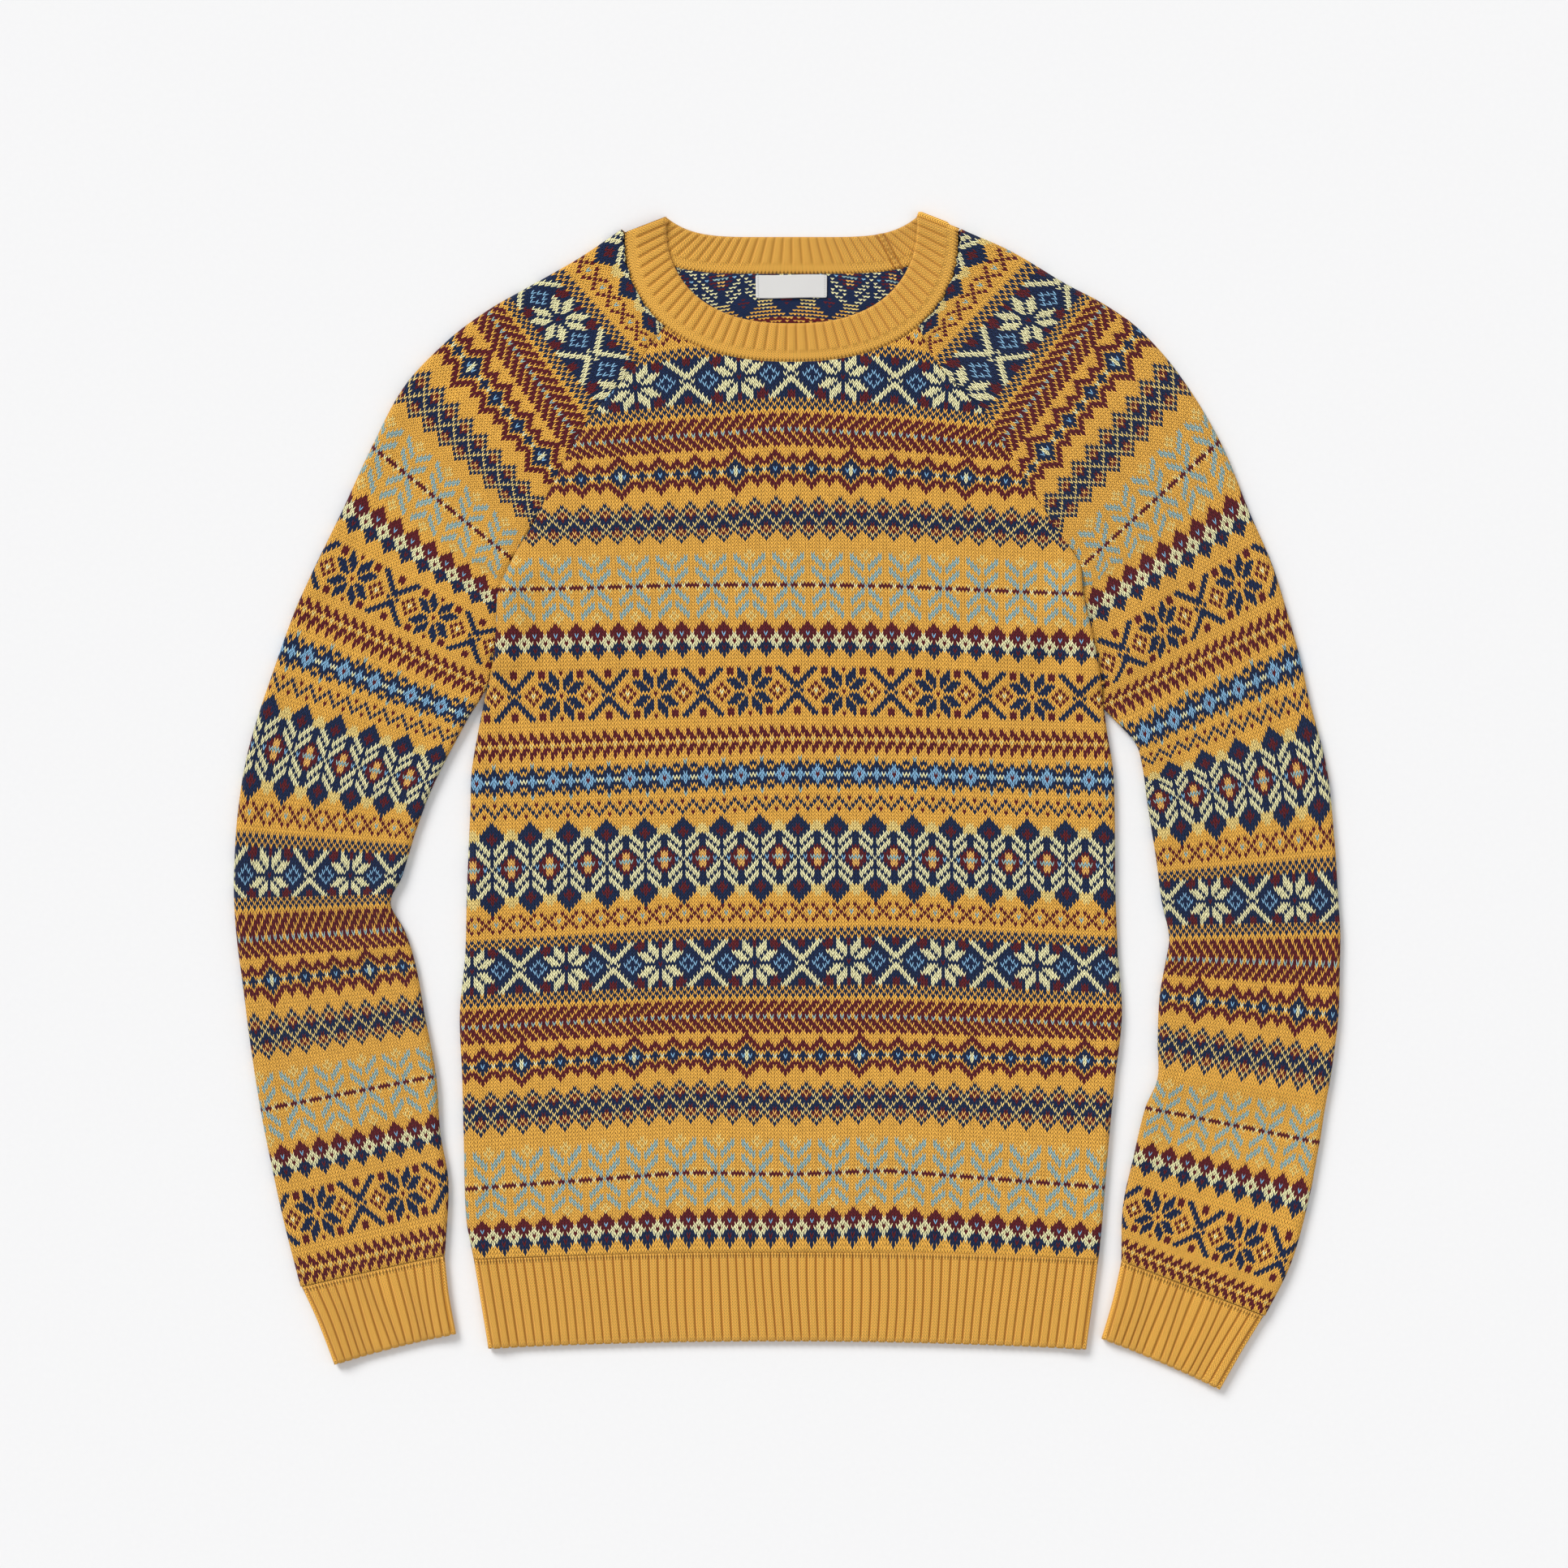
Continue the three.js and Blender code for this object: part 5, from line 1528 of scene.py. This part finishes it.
@dataclass
class NeckLabel:
    """The bare woven label on the inside of the back neck.

    Attributes:
        width: Length of the tape.
        height: Width of the tape.
        thickness: Thickness of the tape.
        middle: Its place in plan.
    """

    width: float = 45.6
    height: float = 14.8
    thickness: float = 0.5
    middle: Tuple[float, float] = (2.6, 328.8)

    def build(self, wardrobe: Wardrobe) -> Piece:
        """Makes the tape: a thin sheet that lies on the knit, arched a little between its ends.

        Args:
            wardrobe: The materials.

        Returns:
            The finished piece.
        """
        u, v = np.meshgrid(np.linspace(-1, 1, 49), np.linspace(-1, 1, 21))
        corner = np.clip((np.abs(u) - 0.95) / 0.05, 0, 1) * np.clip((np.abs(v) - 0.88) / 0.12, 0, 1)
        x = self.middle[0] + 0.5 * self.width * u * (1 - 0.012 * corner) * (1 + 0.004 * v)
        y = self.middle[1] + 0.5 * self.height * v * (1 - 0.04 * corner) + 0.25 * np.sin(2.6 * u)
        hem = 0.22 * smoothstep(np.abs(u), 0.93, 0.97)
        height = 2.95 + 0.35 * (1 - u * u) + 0.22 * np.sin(4.0 * u + 1.0) * (1 - v) * 0.5 + hem
        faces = grid_faces(np.arange(u.size).reshape(u.shape).T).reshape(-1, 4)
        points = np.stack([x, y, height], axis=-1).reshape(-1, 3)
        piece = put_mesh("label_tape", points, faces)
        put_uv(piece, points[faces.ravel(), :2])
        piece.data.materials.append(wardrobe.tape)
        thicken(piece, self.thickness, lining=0)
        return declare(piece, "neck_label")


@dataclass
class Studio:
    """The pale floor, the soft lights and the camera straight above.

    Attributes:
        view: Width of the floor in the picture, in metres.
        centre: The point under the camera, in metres.
        lens: Focal length in millimetres.
        sensor: Width of the sensor in millimetres.
        floor_reach: Half the width of the floor in millimetres.
    """

    view: float = 1.0046
    centre: Tuple[float, float] = (-0.00208, 0.0104)
    lens: float = 85.0
    sensor: float = 36.0
    floor_reach: float = 6000.0

    def build(self) -> None:
        """Puts the floor, lights, sky and camera into the scene."""
        self.floor()
        self.light("Key", (-3.0, 3.8, 3.4), 0.45, 2.75)
        self.light("Fill", (2.8, -1.8, 4.4), 0.9, 0.4)
        bpy.context.scene.view_settings.view_transform = "Standard"
        world = bpy.data.worlds.new("Sky")
        world.use_nodes = True
        background = world.node_tree.nodes["Background"]
        background.inputs["Color"].default_value = (1.0, 1.0, 1.0, 1.0)
        background.inputs["Strength"].default_value = 0.56
        bpy.context.scene.world = world
        self.camera()

    def floor(self) -> None:
        """Makes the floor, a wide pale square just under the jumper."""
        corners = np.array([[-1, -1], [1, -1], [1, 1], [-1, 1]]) * self.floor_reach
        points = np.column_stack([corners, np.full(4, -0.05)])
        floor = put_mesh("floor", points, np.array([[0, 1, 2, 3]]))
        graph = Graph("Pale floor")
        paper = graph.noise(graph.node("TexCoord", {}).outputs["Object"], 300.0, 2.0)
        graph.finish(graph.mix(paper, (0.79, 0.79, 0.795, 1.0), (0.81, 0.81, 0.815, 1.0)), 0.8, 0.0)
        floor.data.materials.append(graph.material)

    def light(self, name: str, place: Tuple[float, float, float], angle: float, power: float) -> None:
        """Adds a far, broad light that looks at the jumper's middle and lights the floor evenly.

        Args:
            name: The light's name.
            place: Where it stands, in metres.
            angle: How broad it looks from the jumper, in radians.
            power: Its strength in watts a square metre.
        """
        data = bpy.data.lights.new(name, "SUN")
        data.angle = angle
        data.energy = power
        lamp = bpy.data.objects.new(name, data)
        lamp.location = place
        x, y, z = place
        lamp.rotation_euler = (math.atan2(math.hypot(x, y), z), 0.0, math.atan2(y, x) + QUARTER)
        bpy.context.scene.collection.objects.link(lamp)

    def camera(self) -> None:
        """Adds the camera, looking straight down with the neck at the top of the picture."""
        data = bpy.data.cameras.new("Camera")
        data.lens = self.lens
        data.sensor_width = self.sensor
        data.sensor_fit = "HORIZONTAL"
        camera = bpy.data.objects.new("Camera", data)
        camera.location = (*self.centre, self.view * self.lens / self.sensor)
        bpy.context.scene.collection.objects.link(camera)
        bpy.context.scene.camera = camera


def build_jumper() -> None:
    """Builds every piece of the jumper in order and reports it."""
    wardrobe = Wardrobe()
    makers = [Panel("back_knit", False, -24, flat_size=(0.43, 0.64), flat_area=0.214)]
    makers.append(Panel("front_knit", True, -12))
    makers += [Sleeve(side) for side in Side]
    makers.append(FlatBand("hem_knit", "hem_rib", HEM_LINES, 69, (0.79, 0.057)))
    for side in Side:
        name = f"cuff_{side.value}"
        makers.append(FlatBand(f"{name}_knit", name, CUFF_LINES[side], 15, (0.18, 0.05)))
    for maker in (*makers, Neckband(), NeckLabel()):
        piece = maker.build(wardrobe)
        LOG.info("%s: %d faces", piece.name, len(piece.data.polygons))


def main() -> None:
    """Loads the frame, builds the jumper and its studio."""
    logging.basicConfig(level=logging.INFO, format="%(message)s")
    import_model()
    build_jumper()
    Studio().build()
    bpy.context.view_layer.update()


if __name__ == "__main__":
    main()
